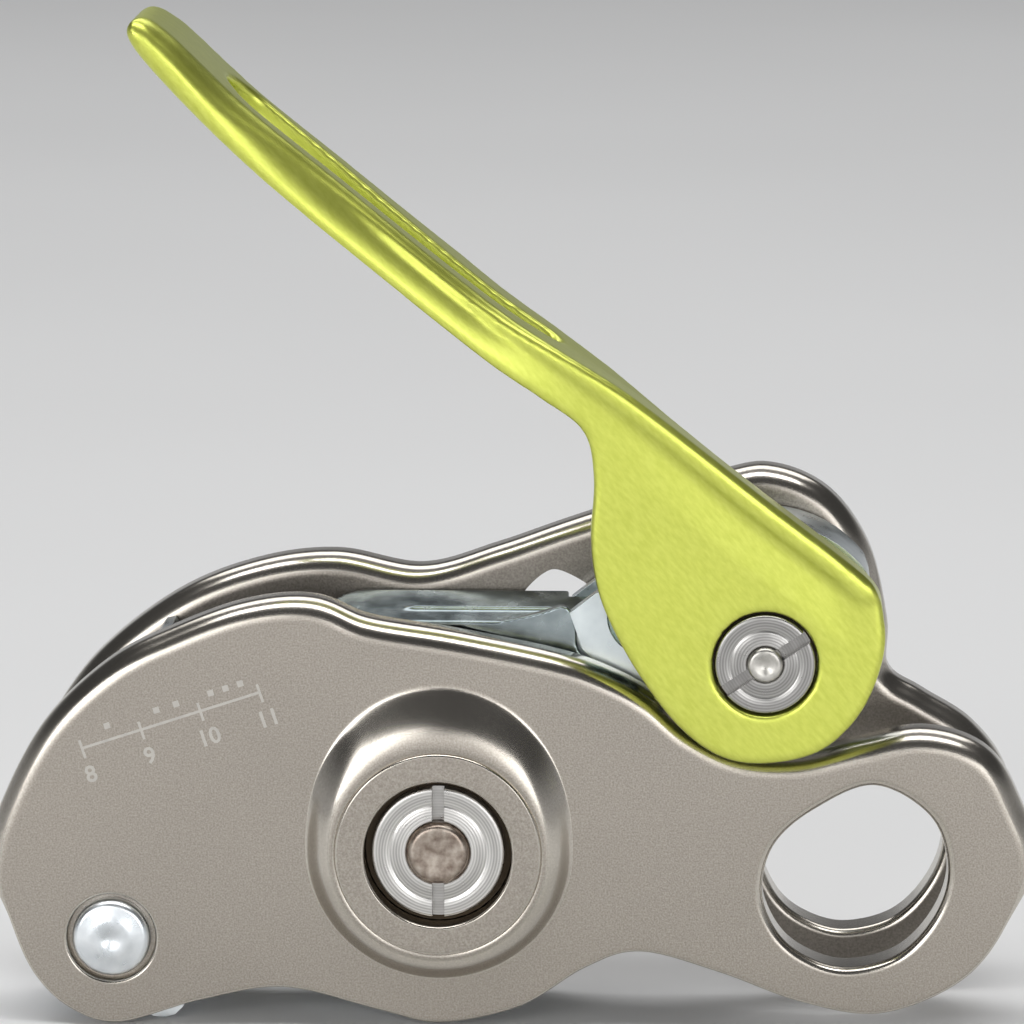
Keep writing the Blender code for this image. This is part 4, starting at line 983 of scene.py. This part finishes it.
class Nodes:
    """A material's node tree with short ways to add to it."""

    def __init__(self, name):
        self.material = bpy.data.materials.new(name)
        self.material.use_nodes = True
        self.tree = self.material.node_tree
        self.shader = self.tree.nodes["Principled BSDF"]
        self.coords = self.add("ShaderNodeTexCoord")

    def add(self, kind, **values):
        """A node with values for its inputs or settings."""
        node = self.tree.nodes.new(kind)
        for key, value in values.items():
            if key in node.inputs:
                node.inputs[key].default_value = value
            else:
                setattr(node, key, value)
        return node

    def link(self, source, target):
        """Join an output to an input."""
        self.tree.links.new(source, target)

    def noise(self, scale, detail=3.0, stretch=None, turn=(0, 0, 0)):
        """Noise in object space, scale of its cells to a metre, stretched along turned axes."""
        node = self.add("ShaderNodeTexNoise", Scale=scale, Detail=detail)
        source = self.coords.outputs["Object"]
        if stretch:
            mapping = self.add("ShaderNodeMapping", vector_type="TEXTURE")
            mapping.inputs["Scale"].default_value = stretch
            mapping.inputs["Rotation"].default_value = turn
            self.link(source, mapping.inputs["Vector"])
            source = mapping.outputs["Vector"]
        self.link(source, node.inputs["Vector"])
        return node.outputs["Fac"]

    def ramp(self, source, low, high, first, last):
        """A colour that goes from first to last as the source goes from low to high."""
        node = self.add("ShaderNodeValToRGB")
        node.color_ramp.elements[0].position = low
        node.color_ramp.elements[1].position = high
        node.color_ramp.elements[0].color = (*first, 1)
        node.color_ramp.elements[1].color = (*last, 1)
        self.link(source, node.inputs["Fac"])
        return node.outputs["Color"]

    def span(self, source, low, high, first, last):
        """A value that goes from first to last as the source goes from low to high."""
        node = self.add("ShaderNodeMapRange")
        for key, value in (("From Min", low), ("From Max", high), ("To Min", first), ("To Max", last)):
            node.inputs[key].default_value = value
        self.link(source, node.inputs["Value"])
        return node.outputs["Result"]

    def maths(self, operation, first, second=None):
        """A sum on values or on other nodes' outputs."""
        node = self.add("ShaderNodeMath", operation=operation)
        for k, value in enumerate((first, second)):
            if isinstance(value, (int, float)):
                node.inputs[k].default_value = value
            elif value is not None:
                self.link(value, node.inputs[k])
        return node.outputs["Value"]

    def bump(self, height, distance, strength):
        """Fine relief of the surface, distance in metres."""
        node = self.add("ShaderNodeBump", Strength=strength, Distance=distance)
        self.link(height, node.inputs["Height"])
        self.link(node.outputs["Normal"], self.shader.inputs["Normal"])


def toned(colours, tone):
    """Colours made darker or lighter by a factor."""
    return [tuple(channel * tone for channel in colour) for colour in colours]


def plate_material(name, tone=1.0):
    """Bead-blasted flats with fine sparkle, and smoother rolled rims whose brighter colour is a painted
    highlight. A tone below 1 darkens the flats as painted shade.
    """
    m = Nodes(name)
    m.shader.inputs["Metallic"].default_value = 1.0
    fine = m.noise(5200, 2.0)
    broad = m.noise(60, 3.0)
    normal = m.add("ShaderNodeSeparateXYZ")
    m.link(m.coords.outputs["Normal"], normal.inputs["Vector"])
    flat = m.span(m.maths("ABSOLUTE", normal.outputs["Y"]), 0.93, 0.995, 0.0, 1.0)
    # A tone below 1 darkens the blasted flats as painted shade; the back plate gets 0.7.
    blasted = m.ramp(fine, *SPECK, *toned(BLASTED, tone))
    # The rims' brighter colour is a painted highlight; their lower roughness below is the real smoother
    # finish.
    rim_highlight = m.ramp(fine, *SPECK, *RIM_HIGHLIGHT)
    colour = m.add("ShaderNodeMix", data_type="RGBA")
    m.link(flat, colour.inputs["Factor"])
    m.link(rim_highlight, colour.inputs["A"])
    m.link(blasted, colour.inputs["B"])
    m.link(colour.outputs["Result"], m.shader.inputs["Base Color"])
    grain = m.span(broad, *SPECK, 0.34, 0.42)
    rim = m.span(broad, *SPECK, 0.16, 0.24)
    blend = m.add("ShaderNodeMix", data_type="FLOAT")
    m.link(flat, blend.inputs["Factor"])
    m.link(rim, blend.inputs["A"])
    m.link(grain, blend.inputs["B"])
    m.link(blend.outputs["Result"], m.shader.inputs["Roughness"])
    m.bump(m.maths("MULTIPLY", fine, flat), 0.00003, 0.5)
    return m.material


def lime_material():
    """Satin lime anodising over finely brushed aluminium."""
    m = Nodes("lime_anodised")
    m.shader.inputs["Metallic"].default_value = 0.92
    m.shader.inputs["Coat Weight"].default_value = 0.25
    m.shader.inputs["Coat Roughness"].default_value = 0.28
    grain = m.noise(1900, 2.0, (2.2, 1.0, 0.7), (0, math.radians(50), 0))
    broad = m.noise(45, 2.0)
    m.link(m.ramp(grain, 0.3, 0.72, *LIME), m.shader.inputs["Base Color"])
    m.link(m.span(broad, *SPECK, 0.31, 0.38), m.shader.inputs["Roughness"])
    m.bump(grain, 0.00002, 0.3)
    return m.material


def metal_material(name, dark, light, rough, scale=300, depth=0.00001):
    """Metal whose tone and gloss vary in specks, scale of them to a metre."""
    m = Nodes(name)
    m.shader.inputs["Metallic"].default_value = 1.0
    speck = m.noise(scale, 4.0)
    m.link(m.ramp(speck, *SPECK, dark, light), m.shader.inputs["Base Color"])
    m.link(m.span(speck, *SPECK, rough * 0.8, rough * 1.25), m.shader.inputs["Roughness"])
    m.bump(speck, depth, 0.4)
    return m.material


def turned_material(name, centre, face, tone):
    """Steel with the fine rings that turning leaves, and painted shade down in its slot."""
    m = Nodes(name)
    m.shader.inputs["Metallic"].default_value = 1.0
    place = m.add("ShaderNodeSeparateXYZ")
    m.link(m.coords.outputs["Object"], place.inputs["Vector"])
    dx = m.maths("SUBTRACT", place.outputs["X"], centre[0] * MM)
    dz = m.maths("SUBTRACT", place.outputs["Z"], centre[1] * MM)
    reach = m.maths("SQRT", m.maths("ADD", m.maths("MULTIPLY", dx, dx), m.maths("MULTIPLY", dz, dz)))
    rings = m.maths("SINE", m.maths("MULTIPLY", reach, FINE_RINGS))
    wide = m.maths("SINE", m.maths("MULTIPLY", reach, BROAD_RINGS))
    mixed = m.maths("ADD", m.maths("MULTIPLY", rings, 0.6), m.maths("MULTIPLY", wide, 0.4))
    floor = (face + AXLE_PROUD) * MM
    # Painted shade: darker from 0.2 to 0.9 mm behind the face, down in the screwdriver slot.
    slot_shade = m.span(place.outputs["Y"], floor + 0.2 * MM, floor + 0.9 * MM, 1.0, 0.3)
    shade = m.maths("MULTIPLY", m.span(mixed, -1, 1, 0, 1), slot_shade)
    m.link(m.ramp(shade, 0.05, 0.9, *toned(TURNED, tone)), m.shader.inputs["Base Color"])
    m.link(m.span(m.noise(700), *SPECK, 0.26, 0.36), m.shader.inputs["Roughness"])
    m.bump(mixed, 0.00001, 0.5)
    return m.material


def make_materials():
    """Every finish by its name."""
    return {
        "plate": plate_material("plate_satin"),
        # Same finish with darker flats: painted shade for the back plate.
        "plate_painted_shade": plate_material("plate_satin_painted_shade", 0.7),
        "lime": lime_material(),
        "zinc": metal_material("zinc_plate", (0.62, 0.68, 0.70), (0.80, 0.86, 0.87), 0.3, 260),
        "bright": metal_material("bright_zinc", (0.66, 0.70, 0.73), (0.84, 0.87, 0.89), 0.3, 420),
        "axle": metal_material("riveted_steel", (0.20, 0.15, 0.12), (0.50, 0.44, 0.38), 0.34, 900, 0.0001),
        # The leaf's zinc, darker than the bracket's.
        "leaf": metal_material("dark_zinc", (0.20, 0.24, 0.25), (0.37, 0.42, 0.43), 0.24, 320),
        "pin": metal_material("pin_steel", (0.40, 0.39, 0.36), (0.62, 0.60, 0.56), 0.34, 900, 0.00004),
        "stud": metal_material("green_zinc", (0.10, 0.17, 0.14), (0.34, 0.44, 0.38), 0.24, 300),
        "steel": metal_material("plain_steel", (0.42, 0.42, 0.42), (0.56, 0.56, 0.55), 0.3),
        "bronze": metal_material("bearing_bronze", (0.045, 0.035, 0.025), (0.09, 0.07, 0.05), 0.5),
        "mark": metal_material("laser_mark", (0.46, 0.44, 0.41), (0.56, 0.54, 0.50), 0.5, 900),
        "turned": turned_material("turned_steel_hub", (0, 0), NUT_FACE, 1.15),
        "turned_handle": turned_material("turned_steel_lever", HANDLE_AT, HANDLE_FRONT, 0.75),
    }


def dress(piece, finish, body, node):
    """Give a piece its finish, keep it in the CAD's box and let it stand for its node."""
    low, high = CAD_BOX
    for vertex in piece.data.vertices:
        vertex.co = [min(h, max(l, c)) for c, l, h in zip(vertex.co, low, high)]
    piece.data.materials.clear()
    piece.data.materials.append(MATERIALS[finish])
    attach(piece, body)
    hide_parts(node)


def dress_cad_nodes():
    """Finishes of the CAD nodes that stay as they are."""
    slots = {part["node"]: part["material_slot"] for part in frame["record"]["subparts"]}
    for name, node in frame["nodes"].items():
        finish = "zinc" if name == "cam" else slots[name]
        node.data.materials.clear()
        node.data.materials.append(MATERIALS[finish])


# Stage, light and camera

# Focal length and frame in pixels, sensor in mm, angles in degrees, distance and clipping in metres
FOCAL = 5664.0
FRAME_PX = 1024.0
SENSOR = 36.0
AZIMUTH = 2.2
ELEVATION = 11.0
DISTANCE = 0.59
CLIP = (0.05, 50)
TARGET = at(7.728, 0.0, 36.292)

# The floor: mm under the device, and half its side in metres
FLOOR_GAP = 0.3
FLOOR_HALF = 6.0

# Each light's azimuth and elevation in degrees, distance and size in metres, and power in watts
LIGHTS = {
    "front_left": (-30, 13, 1.1, (0.8, 0.45), 4.2),
    "front_right": (21, 7, 1.1, (0.6, 0.4), 2.5),
    "top_strip": (-4, 76, 0.8, (0.9, 0.22), 3.8),
    "back_floor": (180, 55, 1.6, (1.8, 0.8), 11.0),
}

# Rows of (height in the surround, grey)
SURROUND = ((0.0, 0.52), (0.14, 0.34), (0.34, 0.07), (0.80, 0.06), (1.0, 0.24))
SURROUND_TINT = (1.0, 1.01, 1.03)


def back_of(azimuth, elevation):
    """Direction from the target to a view, in degrees: azimuth 0 is the front, elevation goes up."""
    a, e = math.radians(azimuth), math.radians(elevation)
    return Vector((math.sin(a) * math.cos(e), -math.cos(a) * math.cos(e), math.sin(e)))


def make_camera():
    """Camera that matches the photograph's view."""
    data = bpy.data.cameras.new("camera")
    data.sensor_width = SENSOR
    data.lens = FOCAL / FRAME_PX * SENSOR
    data.clip_start, data.clip_end = CLIP
    camera = bpy.data.objects.new("camera", data)
    bpy.context.scene.collection.objects.link(camera)
    back = back_of(AZIMUTH, ELEVATION)
    camera.location = TARGET + back * DISTANCE
    camera.rotation_mode = "QUATERNION"
    camera.rotation_quaternion = (-back).to_track_quat("-Z", "Y")
    bpy.context.scene.camera = camera


def make_floor():
    """Pale floor just under the device."""
    floor_z = CAD_BOX[0].z - FLOOR_GAP * MM
    bm = bmesh.new()
    bmesh.ops.create_grid(bm, x_segments=2, y_segments=2, size=FLOOR_HALF)
    bmesh.ops.translate(bm, verts=bm.verts, vec=Vector((0, 0, floor_z)))
    mesh = bpy.data.meshes.new("floor")
    bm.to_mesh(mesh)
    bm.free()
    floor = bpy.data.objects.new("floor", mesh)
    bpy.context.scene.collection.objects.link(floor)
    m = Nodes("floor_pale")
    m.shader.inputs["Roughness"].default_value = 0.85
    m.link(m.ramp(m.noise(3.0), *SPECK, *FLOOR), m.shader.inputs["Base Color"])
    mesh.materials.append(m.material)


def make_area(name, azimuth, elevation, distance, size, power):
    """An area light that faces the target from a view direction."""
    data = bpy.data.lights.new(name, "AREA")
    data.shape = "RECTANGLE"
    data.size, data.size_y = size
    data.energy = power
    lamp = bpy.data.objects.new(name, data)
    bpy.context.scene.collection.objects.link(lamp)
    back = back_of(azimuth, elevation)
    lamp.location = TARGET + back * distance
    lamp.rotation_mode = "QUATERNION"
    lamp.rotation_quaternion = (-back).to_track_quat("-Z", "Y")


def make_world():
    """Studio surround: pale low down, dark between the lights and softer overhead."""
    world = bpy.data.worlds.new("studio")
    bpy.context.scene.world = world
    world.use_nodes = True
    nodes, links = world.node_tree.nodes, world.node_tree.links
    coords = nodes.new("ShaderNodeTexCoord")
    split = nodes.new("ShaderNodeSeparateXYZ")
    ramp = nodes.new("ShaderNodeValToRGB")
    links.new(coords.outputs["Generated"], split.inputs["Vector"])
    links.new(split.outputs["Z"], ramp.inputs["Fac"])
    ramp.color_ramp.elements[0].position = SURROUND[0][0]
    ramp.color_ramp.elements[1].position = SURROUND[-1][0]
    for position, _ in SURROUND[1:-1]:
        ramp.color_ramp.elements.new(position)
    for element, (_, grey) in zip(ramp.color_ramp.elements, SURROUND):
        element.color = (*(grey * channel for channel in SURROUND_TINT), 1)
    links.new(ramp.outputs["Color"], nodes["Background"].inputs["Color"])
    nodes["Background"].inputs["Strength"].default_value = 1.0


def make_lights():
    """Surround and area lights."""
    make_world()
    for name, place in LIGHTS.items():
        make_area(name, *place)


MATERIALS = make_materials()
dress_cad_nodes()
make_front_plate()
make_back_plate()
make_handle()
make_hub()
make_pad_rivet()
make_handle_axle()
make_bracket()
make_leaf()
make_stud()
make_pad()
make_marks()
make_floor()
make_lights()
make_camera()
bpy.context.scene.view_settings.view_transform = "Standard"
